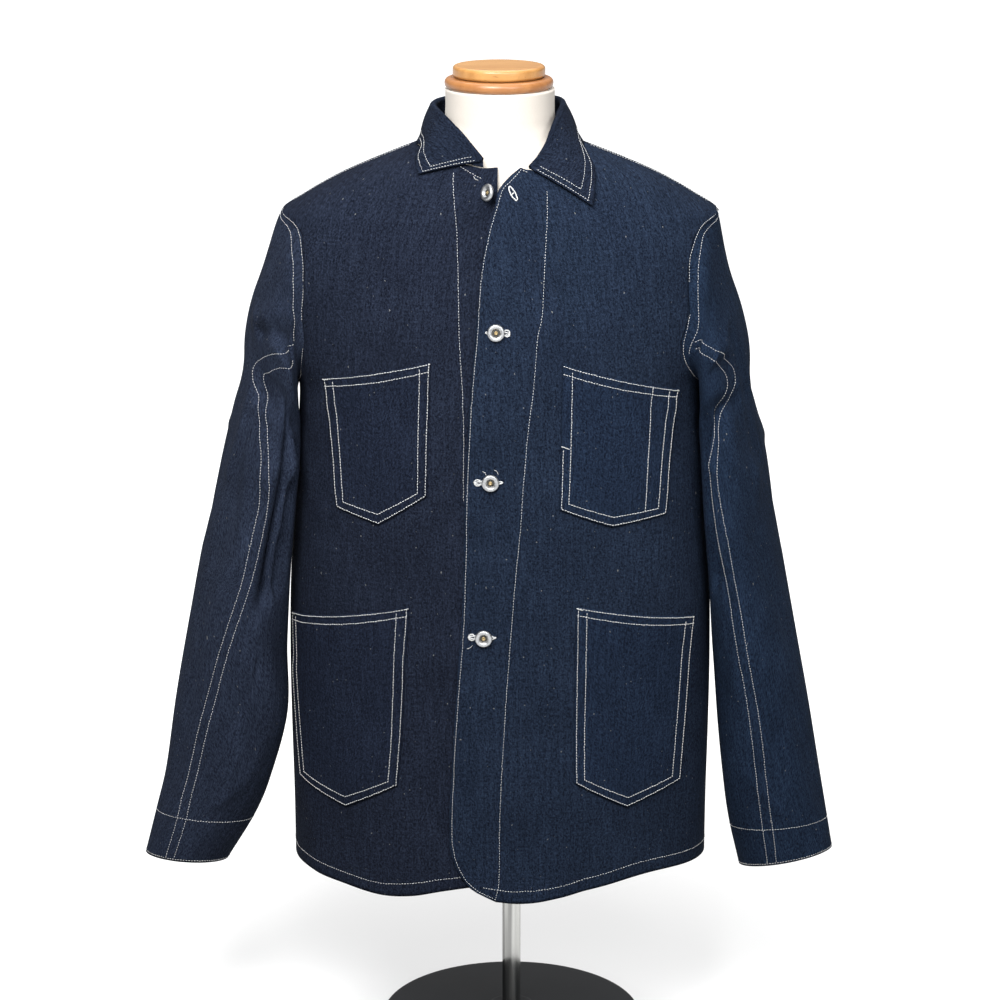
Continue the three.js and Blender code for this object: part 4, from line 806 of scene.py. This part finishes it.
def pocket_place(pocket, share, up):
    """Angle and height for a share of the width and a share of the way up: straight between the top edge
    and the pointed bottom edge."""
    (a0, z0), (a1, z1), (a2, z2) = pocket["bottom"]
    (b0, y0), (b1, y1) = pocket["top"]
    tip = (a1 - a0) / (a2 - a0)
    low_z = np.interp(share, [0, tip, 1], [z0, z1, z2])
    low_angle = a0 + (a2 - a0) * share
    top_angle, top_z = b0 + (b1 - b0) * share, y0 + (y1 - y0) * share
    return low_angle + (top_angle - low_angle) * up, low_z + (top_z - low_z) * up


# The right pockets' copy of the denim is tinted a little darker, the left pockets' lighter and bluer.
pocket_denim = {"right": denim("denim_pocket_right", (0.90, 0.92, 0.96)),
                "left": denim("denim_pocket_left", (0.95, 1.18, 1.30))}
for name, pocket in POCKETS.items():
    share, up = np.meshgrid(np.linspace(0, 1, 61), np.linspace(0, 1, 70))
    angle, z = pocket_place(pocket, share, up)
    from_border = np.minimum.reduce([share, 1 - share, up * 1.3])
    lift = POCKET_LIFT + POCKET_PUFF * smoothstep(0, PRESSED_SHARE, from_border)
    piece = cloth_piece("jacket_" + name, cloth_point(pocket["side"], angle, z, lift),
                        pocket_denim[pocket["side"]], name, thickness=POCKET_WALL)


# Buttons: pressed metal rings with a dished middle, on the right front at the neck and shown
# through the left front's buttonholes below.
BUTTONS = {
    "button_1": dict(side="right", angle=-9.6, z=893.5, lean=-1.5),
    "button_2": dict(side="left", angle=-1.8, z=765.0, lean=0.0),
    "button_3": dict(side="left", angle=-4.0, z=619.0, lean=0.0),
    "button_4": dict(side="left", angle=-6.8, z=462.0, lean=0.0),
}
BUTTON_GAP, LEAN_RISE = 0.85, 4.0
BUTTON_PROFILE = [(0, 0), (4, 0), (7.3, 0), (8.1, 0.4), (8.5, 1.3), (8.3, 2.4), (7.6, 3.3), (6.7, 3.6),
                  (5.6, 3.5), (4.6, 3.0), (3.9, 2.0), (3.4, 1.1), (2.9, 0.9), (1.5, 0.9), (0, 0.9)]
RIVET_PROFILE = [(0, 0.8), (1.2, 0.8), (1.9, 1.0), (2.1, 1.6), (1.6, 2.1), (0.8, 2.2), (0.5, 1.7), (0, 1.6)]
WELL_PROFILE = [(0, 0.5), (2.0, 0.5), (3.55, 0.6), (3.6, 1.2), (2.0, 1.2), (0, 1.2)]

button_finish, button_shader = finish("pressed_metal", Metallic=1.0)
button_place = surface_place(button_finish, "Object")
button_wear = button_place.noise(420, 3)
plug(button_finish, button_shader, bump=button_wear, bump_height=0.00008,
     Base_Color=button_wear.colour((0.24, 0.245, 0.25), (0.50, 0.51, 0.52)),
     Roughness=button_wear * 0.25 + 0.30)
rivet_finish, rivet_shader = finish("brass_rivet", Metallic=1.0)
rivet_wear = surface_place(rivet_finish, "Object").noise(500, 3)
plug(rivet_finish, rivet_shader,
     Base_Color=rivet_wear.colour((0.16, 0.12, 0.06), (0.42, 0.32, 0.17)), Roughness=rivet_wear * 0.3 + 0.3)
# A near-black disc in each button's dished middle round the rivet, painted shade in the hollow, mottled at
# random.
well_finish, well_shader = finish("button_hollow_painted_shade", Roughness=0.8)
well_shade_mottle = surface_place(well_finish, "Object").noise(300, 2)
plug(well_finish, well_shader, Base_Color=well_shade_mottle.colour((0.02, 0.02, 0.02), (0.05, 0.05, 0.045)))
BUTTON_PARTS = [("", BUTTON_PROFILE, button_finish), ("_rivet", RIVET_PROFILE, rivet_finish),
                ("_well", WELL_PROFILE, well_finish)]


def stood_on(points, seat, normal):
    """Points of an upright shape moved so that +Z goes along a normal and the origin to a seat."""
    side_way = unit(np.cross((0.0, 0.0, 1.0), normal))
    up_way = np.cross(normal, side_way)
    return seat + points @ np.stack([side_way, up_way, normal])


for name, button in BUTTONS.items():
    angle, z = np.float64(button["angle"]), np.float64(button["z"])
    seat = cloth_point(button["side"], angle, z, BUTTON_GAP)
    normal = unit(face_normal(button["side"], angle, z) + (button["lean"], 0, 0))
    seat = seat + face_normal(button["side"], angle, z) * (-button["lean"] * LEAN_RISE) + (FORM_X, 0, 0)
    for part, profile, material in BUTTON_PARTS:
        points, faces = turned(profile, sides=48)
        piece = mesh_piece("jacket_" + name + part, stood_on(points, seat, normal), faces, material)
        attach(piece, "root")
        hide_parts(name)


# Topstitching: off-white cotton, one short rounded stitch after another, half sunk in the cloth.
# Rows are (first, second) places on a surface: angle and height, turn and section, or collar places.
STITCH = dict(pitch=2.8, length=1.8, radius=0.29, out=0.12, wobble=0.12)
POCKET_STITCH = dict(STITCH, radius=0.40, length=2.2, out=0.2)
STITCH_SIDES = 5
STITCH_RINGS = [(-0.5, 0.35, -0.5), (-0.34, 0.95, 0.0), (0.34, 0.95, 0.0), (0.5, 0.35, -0.5)]

thread_finish, thread_shader = finish("cotton_thread", Roughness=0.85)
thread_twist = surface_place(thread_finish, "Object").noise(1400, 2)
plug(thread_finish, thread_shader, bump=thread_twist, bump_height=0.0001,
     Base_Color=thread_twist.colour((0.36, 0.37, 0.38), (0.66, 0.66, 0.65)))
wobble = np.random.default_rng(11)


def row_path(corners, curved, count=700):
    """Places spread evenly along a row: straight between its corners, or one smooth curve through them."""
    first, second = np.asarray(corners, dtype=float).T
    step = np.arange(len(first), dtype=float)
    along = np.linspace(0, len(first) - 1, count)
    if curved:
        table = dict(step=step, first=first, second=second)
        return follow(table, "step", "first", along), follow(table, "step", "second", along)
    return np.interp(along, step, first), np.interp(along, step, second)


def row_frames(surface, first, second, pitch):
    """Places a pitch apart on a path, with the way along it and the surface's normal there."""
    face = surface(first, second, 0.0)
    normal = unit(surface(first, second, 1.0) - face)
    reach = np.concatenate([[0], np.cumsum(np.linalg.norm(np.diff(face, axis=0), axis=1))])
    stops = np.arange(pitch / 2, max(reach[-1], pitch), pitch)

    def at(values):
        return np.stack([np.interp(stops, reach, column) for column in values.T], axis=1)

    way = unit(np.gradient(face, axis=0) + 1e-9)
    return at(face), unit(at(way)), unit(at(normal))


def stitch_points(surface, rows, curved=True, size=STITCH):
    """Stitches for rows: each is a bar of four rings along its row, its ends dipped and its middle proud."""
    angle = np.linspace(0, 2 * np.pi, STITCH_SIDES, endpoint=False)
    template = np.array([(x * size["length"], width * size["radius"] * math.cos(a),
                          width * size["radius"] * math.sin(a) + dip * size["radius"])
                         for x, width, dip in STITCH_RINGS for a in angle])
    parts = []
    for corners in rows:
        centre, way, normal = row_frames(surface, *row_path(corners, curved), size["pitch"])
        across = np.cross(normal, way)
        way = unit(way + across * wobble.normal(0, 0.05, (len(way), 1)))
        centre = centre + across * wobble.normal(0, size["wobble"], (len(way), 1)) + normal * size["out"]
        frame_ways = np.stack([way, np.cross(normal, way), normal], axis=1)
        parts.append(centre[:, None, :] + template @ frame_ways)
    return np.concatenate(parts)


def stitch_piece(name, points):
    """One mesh of all the stitches in an array of (stitch, corner, axis)."""
    count, corners = points.shape[:2]
    rings = len(STITCH_RINGS)
    around = np.arange(STITCH_SIDES)
    bars = np.array(grid_faces(rings, STITCH_SIDES, closed=True))
    ends = np.stack([around[::-1], (rings - 1) * STITCH_SIDES + around])
    start = (np.arange(count) * corners)[:, None, None]
    faces = (start + bars).reshape(-1, 4).tolist() + (start + ends).reshape(-1, STITCH_SIDES).tolist()
    piece = mesh_piece(name, points.reshape(-1, 3) + (FORM_X, 0, 0), faces, thread_finish)
    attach(piece, "root")
    return piece


def body_surface(side):
    return lambda angle, z, out: cloth_point(side, angle, z, out)


LEFT_BODY_ROWS = [
    [(15, 916.4), (6.5, 905.5), (1.6, 898), (-2.0, 880), (-5.9, 855), (-9.2, 815), (-10.3, 760),
     (-12.2, 697), (-13.6, 610), (-14.2, 545), (-15.3, 462), (-17.1, 402), (-19.0, 330), (-20.3, 268),
     (-19.6, 236), (-16.0, 213), (-10.6, 198.5), (-2.0, 187.5)],
    [(28, 897), (23.8, 855), (20.9, 814), (19, 779), (16.6, 757), (14.2, 707), (11.6, 664), (9.5, 609),
     (8.5, 571), (6.4, 521), (4.1, 450), (2.1, 379), (0, 282), (-0.4, 210), (-1.9, 188)],
    [(-7.5, 200.5), (-1, 198), (8, 196), (24, 200.5), (40.6, 210), (55.2, 217.5), (73.5, 215), (89.4, 209.5)],
    [(15.5, 915.6), (19.5, 913)],
    [(88.2, 866.2), (75.6, 858), (69.8, 835), (68.2, 813), (68.4, 783), (67.9, 768), (66.6, 741), (69, 722),
     (76, 704), (86, 693.5)],
]
RIGHT_BODY_ROWS = [
    [(-30.8, 913), (-25.2, 879), (-21.3, 825), (-18.9, 761), (-16.9, 707), (-16.0, 660), (-15.6, 600)],
    [(-28.4, 918.0), (-19, 912.0), (-12.0, 907.5)],
    [(-89.4, 209.5), (-71, 208.5), (-59.5, 204.5), (-47.3, 200), (-40, 200.5), (-24, 206), (-12, 211)],
    [(-88.2, 866.2), (-75.6, 856.4), (-71.2, 829), (-70.4, 799), (-71.1, 768), (-71.7, 741), (-74.4, 720),
     (-79, 703), (-87, 693.5)],
]
BACK_BODY_ROWS = [[(90.6, 209.5), (135, 203.5), (180, 205.5), (225, 202.5), (269.4, 209.5)]]
for group in (
    [[(91.8, 866.2), (104, 857), (109, 834), (110.6, 806), (110.2, 772), (108.4, 737), (103.5, 710),
      (94, 693.5)]],
    [[(91.6, 871), (91.4, 890), (91.6, 910), (92, 928)], [(94.6, 870), (95, 890), (96.6, 910), (98.5, 929)]],
    [[(91.2, 684), (91.2, 460), (91.2, 214)], [(94.1, 684), (94.1, 460), (94.1, 214)]],
):
    BACK_BODY_ROWS += group + [[(360 - angle, z) for angle, z in row] for row in group]
stitch_piece("stitching_front_left", stitch_points(body_surface("left"), LEFT_BODY_ROWS))
stitch_piece("stitching_front_right", stitch_points(body_surface("right"), RIGHT_BODY_ROWS))
stitch_piece("stitching_back", stitch_points(body_surface("back"), BACK_BODY_ROWS))


# Sleeve seams: the front seam of the two-piece sleeve is felled and shows two rows, and so does the
# back seam. The armhole's second row lies on the sleeve, and the cuff hem is held by one row.
SLEEVE_FRONT_ROWS = {
    "right": [
        [(106, 1.4), (82, 2.3), (58, 3.08), (36, 3.68), (24, 4.0), (24, 4.3), (38, 4.68), (52, 5.05),
         (66, 5.5), (72, 6.0), (72.6, 6.46), (73.2, 7.19), (67.7, 7.82), (59.5, 8.53), (52.3, 9.38),
         (51.3, 10.37), (56.9, 11.11), (63, 11.96)],
        [(108, 1.75), (88, 2.5), (66, 3.22), (47, 3.78), (36, 4.06), (38, 4.32), (54, 4.66), (70, 5.12),
         (81, 5.6), (84, 6.2), (84, 7.1), (77.8, 7.77), (69.3, 8.49), (62.4, 9.35), (62.1, 10.32),
         (68, 11.07), (75, 11.95)],
    ],
    "left": [
        [(123, 0.85), (104, 1.5), (85, 2.25), (64, 3.15), (48, 3.85), (56, 4.1), (74, 4.3), (94, 4.5),
         (104, 5.0), (104, 5.7), (102.5, 6.5), (102, 7.4), (102, 8.4), (103.4, 9.3), (105.3, 10.16),
         (110.4, 11.18), (116, 11.96)],
        [(120, 0.7), (98, 1.5), (77, 2.3), (52, 3.25), (31, 4.0), (36, 4.35), (56, 4.5), (76, 4.7),
         (88, 5.2), (87.5, 6.0), (84, 6.7), (84.5, 7.4), (89, 8.4), (92, 9.6), (98.6, 11.19), (105, 11.96)],
    ],
}
SLEEVE_BACK_ROWS = [
    [(252, 1.0), (262, 3.0), (270, 5.0), (276, 7.0), (282, 9.0), (284, 11.0), (284, 11.96)],
    [(260, 1.0), (270, 3.0), (278, 5.0), (284.5, 7.0), (291, 9.0), (294, 11.0), (294.5, 11.96)],
]
CUFF_ROW = {"right": 11.06, "left": 11.16}
CUFF_EDGE_ROW = 11.955
ARMHOLE_ROW = 8.5
ARMHOLE_FRONT_ROW = {
    "right": [(2, 0.62), (19, 0.70), (37, 0.76), (57, 0.76), (83, 0.95), (105, 1.32)],
    "left": [(2, 0.6), (18, 0.62), (43, 0.54), (64, 0.56), (90, 0.70), (104, 0.76), (118, 0.62), (135, 0.4)],
}


def sleeve_surface(side):
    """Places on a sleeve's own facets, between the points of its grid."""
    grid = sleeve_grids[side]

    def flat_place(turn, section):
        way_down = np.clip(np.asarray(section) / LAST_SECTION, 0, 1)
        row = way_down ** (1 / SLEEVE_SPREAD) * (SLEEVE_ROWS_DOWN - 1)
        column = np.asarray(turn) / 360 * SLEEVE_SIDES
        i, j = np.minimum(row.astype(int), SLEEVE_ROWS_DOWN - 2), np.floor(column).astype(int)
        down, over = (row - i)[..., None], (column - j)[..., None]
        j, after = j % SLEEVE_SIDES, (j + 1) % SLEEVE_SIDES
        upper = grid[i, j] * (1 - over) + grid[i, after] * over
        lower = grid[i + 1, j] * (1 - over) + grid[i + 1, after] * over
        return upper * (1 - down) + lower * down

    def place(turn, section, out):
        around = flat_place(turn + 2, section) - flat_place(turn - 2, section)
        below, above = np.minimum(section + 0.04, LAST_SECTION), np.maximum(section - 0.04, 0)
        along = flat_place(turn, below) - flat_place(turn, above)
        normal = unit(np.cross(around, along)) * (-1 if side == "right" else 1)
        return flat_place(turn, section) + normal * out

    return place


def armhole_row(side, distance):
    """Places on the back half of a sleeve a distance from its armhole seam."""
    turn, section = np.meshgrid(np.linspace(185, 360, 90), np.linspace(0, 2, 240), indexing="ij")
    points = sleeve_point(side, turn, section)
    reach = np.cumsum(np.linalg.norm(np.diff(points, axis=1), axis=-1), axis=1)
    found = np.argmax(reach > distance, axis=1) + 1
    return np.stack([turn[:, 0], section[0, found]], axis=1)


for side in ("right", "left"):
    rows = SLEEVE_FRONT_ROWS[side] + SLEEVE_BACK_ROWS
    rows += [armhole_row(side, ARMHOLE_ROW), ARMHOLE_FRONT_ROW[side]]
    for section in (CUFF_ROW[side], CUFF_EDGE_ROW):
        rows.append([(turn, section) for turn in np.linspace(0, 360, 25)])
    stitch_piece("stitching_sleeve_" + side, stitch_points(sleeve_surface(side), rows))


# Pocket rows: a double row round each pocket and along its top hem, a row that stitches off the
# pencil slot of the left chest pocket, and a bar tack where that pocket's side opening ends.
POCKET_EDGE, POCKET_SECOND = 1.6, 8.6
POCKET_ARC = 2.322       # mean arc of one degree along a pocket's top


def pocket_surface(pocket):
    """Places over a pocket: a share of the way across it and a share of the way up it."""
    def place(share, up, out):
        return cloth_point(pocket["side"], *pocket_place(pocket, share, up), POCKET_LIFT + POCKET_PUFF + out)

    return place


def pocket_row(width, height, tip, inset):
    """A pocket's outline in shares of its width and height, drawn in by an inset on every side."""
    across, up = inset / width, inset / height
    top = 1 - up * 0.5
    return [(across, top), (across, up), (tip, up * 1.08), (1 - across, up), (1 - across, top)]


for name, pocket in POCKETS.items():
    (a0, z0), (a1, z1), (a2, z2) = pocket["bottom"]
    (b0, y0), (b1, y1) = pocket["top"]
    width, height = (b1 - b0) * POCKET_ARC, (y0 + y1 - z0 - z2) / 2
    tip = (a1 - a0) / (a2 - a0)
    rows = [pocket_row(width, height, tip, inset) for inset in (POCKET_EDGE, POCKET_SECOND)]
    edge, second = POCKET_EDGE / height, POCKET_SECOND / height
    rows += [[(0.004, 1 - edge), (0.996, 1 - edge)], [(0.004, 1 - second), (0.996, 1 - second)]]
    if name == "chest_pocket_left":
        rows[0] = [(POCKET_EDGE / width, 0.42)] + rows[0][1:]
        rows.append([(0.765, 1 - edge), (0.79, second)])
    stitch_piece("stitching_" + name, stitch_points(pocket_surface(pocket), rows, False, POCKET_STITCH))

TACK = dict(pitch=0.75, length=1.9, radius=0.42, out=0.3, wobble=0.05)
tack_pocket = POCKETS["chest_pocket_left"]
tacks = [stitch_points(pocket_surface(tack_pocket), [[(0.002, 0.44), (0.075, 0.44)]], False, TACK)]
for name, pocket in POCKETS.items():
    corner = 1.0 if name == "chest_pocket_left" else 0.0
    tack = [(abs(corner - 0.005), 0.99), (abs(corner - 0.055), 0.985)]
    tacks.append(stitch_points(pocket_surface(pocket), [tack], False, TACK))
stitch_piece("bar_tacks", np.concatenate(tacks))


def collar_surface(station, across, out):
    """Places over the collar's outer face, with the normal from the two slopes of its middle face."""
    ahead, behind = np.minimum(station + 0.02, LAST_STATION), np.maximum(station - 0.02, 0)
    along = collar_place(ahead, across) - collar_place(behind, across)
    over = collar_place(station, np.minimum(across + 0.01, 1)) - collar_place(station, across - 0.01)
    return collar_place(station, across) + unit(np.cross(along, over)) * (COLLAR_WALL / 2 + out)


# Collar rows: two rows round the fall's edge and its two short ends.
COLLAR_ROWS = [
    [(0.14, 0.54), (0.14, 0.955), (8, 0.965), (15.86, 0.955), (15.86, 0.54)],
    [(0.50, 0.54), (0.50, 0.88), (8, 0.89), (15.50, 0.88), (15.50, 0.54)],
]
stitch_piece("stitching_collar", stitch_points(collar_surface, COLLAR_ROWS, curved=False))


# Buttonholes: close white thread round a slit, with a round eye at the button's end, and the loose
# thread ends that hang from some of them and under the right collar.
HOLE_THREAD = dict(pitch=0.8, length=1.25, radius=0.72, out=0.3, wobble=0.12)
TAIL_THREAD = dict(pitch=0.9, length=1.2, radius=0.26, out=0.9, wobble=0.04)
BUTTONHOLES = [
    dict(centre=(7.8, 895.0), length=15.5, wide=5.6, lean=-50, eye=None),
    dict(centre=(-1.1, 764.5), length=25, wide=3.6, lean=-2, eye=1),
    dict(centre=(-4.7, 619.0), length=27, wide=3.6, lean=1, eye=-1),
    dict(centre=(-7.4, 462.3), length=26, wide=3.6, lean=0, eye=-1),
]
ARC_AT_OVERLAP = 2.32    # mean arc of one degree along the front edge
EYE_LONG, EYE_WIDE, EYE_INSET = 6.4, 6.0, 2.8
TAILS = [
    [(-7.2, 630.5), (-6.3, 629.2), (-5.8, 626.8)], [(-2.3, 632.0), (-1.2, 630.0), (-0.7, 627.0)],
    [(-13.8, 450.5), (-12.6, 451.5), (-11.3, 454.5)],
]
LOOSE = [[(-17.8, 909.5), (-16.2, 907.0), (-14.4, 906.0)]]


def oval_row(angle, z, long, wide, lean):
    """A closed row on a front: an oval of a length and a width, leaning by an angle."""
    turn = np.linspace(0, 2 * np.pi, 40)
    x, y = long / 2 * np.cos(turn), wide / 2 * np.sin(turn)
    a = math.radians(lean)
    return np.stack([angle + (x * math.cos(a) - y * math.sin(a)) / ARC_AT_OVERLAP,
                     z + x * math.sin(a) + y * math.cos(a)], axis=1)


hole_rows = []
for hole in BUTTONHOLES:
    angle, z = hole["centre"]
    hole_rows.append(oval_row(angle, z, hole["length"], hole["wide"], hole["lean"]))
    if hole["eye"] is None:
        hole_rows.append([(angle - 0.5, z - 1.0), (angle + 0.5, z + 1.0)])
    else:
        eye = angle + hole["eye"] * (hole["length"] / 2 - EYE_INSET) / ARC_AT_OVERLAP
        hole_rows.append(oval_row(eye, z, EYE_LONG, EYE_WIDE, 0))
stitch_piece("buttonholes", stitch_points(body_surface("left"), hole_rows, True, HOLE_THREAD))
stitch_piece("thread_tails", stitch_points(body_surface("left"), TAILS, True, TAIL_THREAD))
stitch_piece("thread_loose", stitch_points(body_surface("right"), LOOSE, True, TAIL_THREAD))
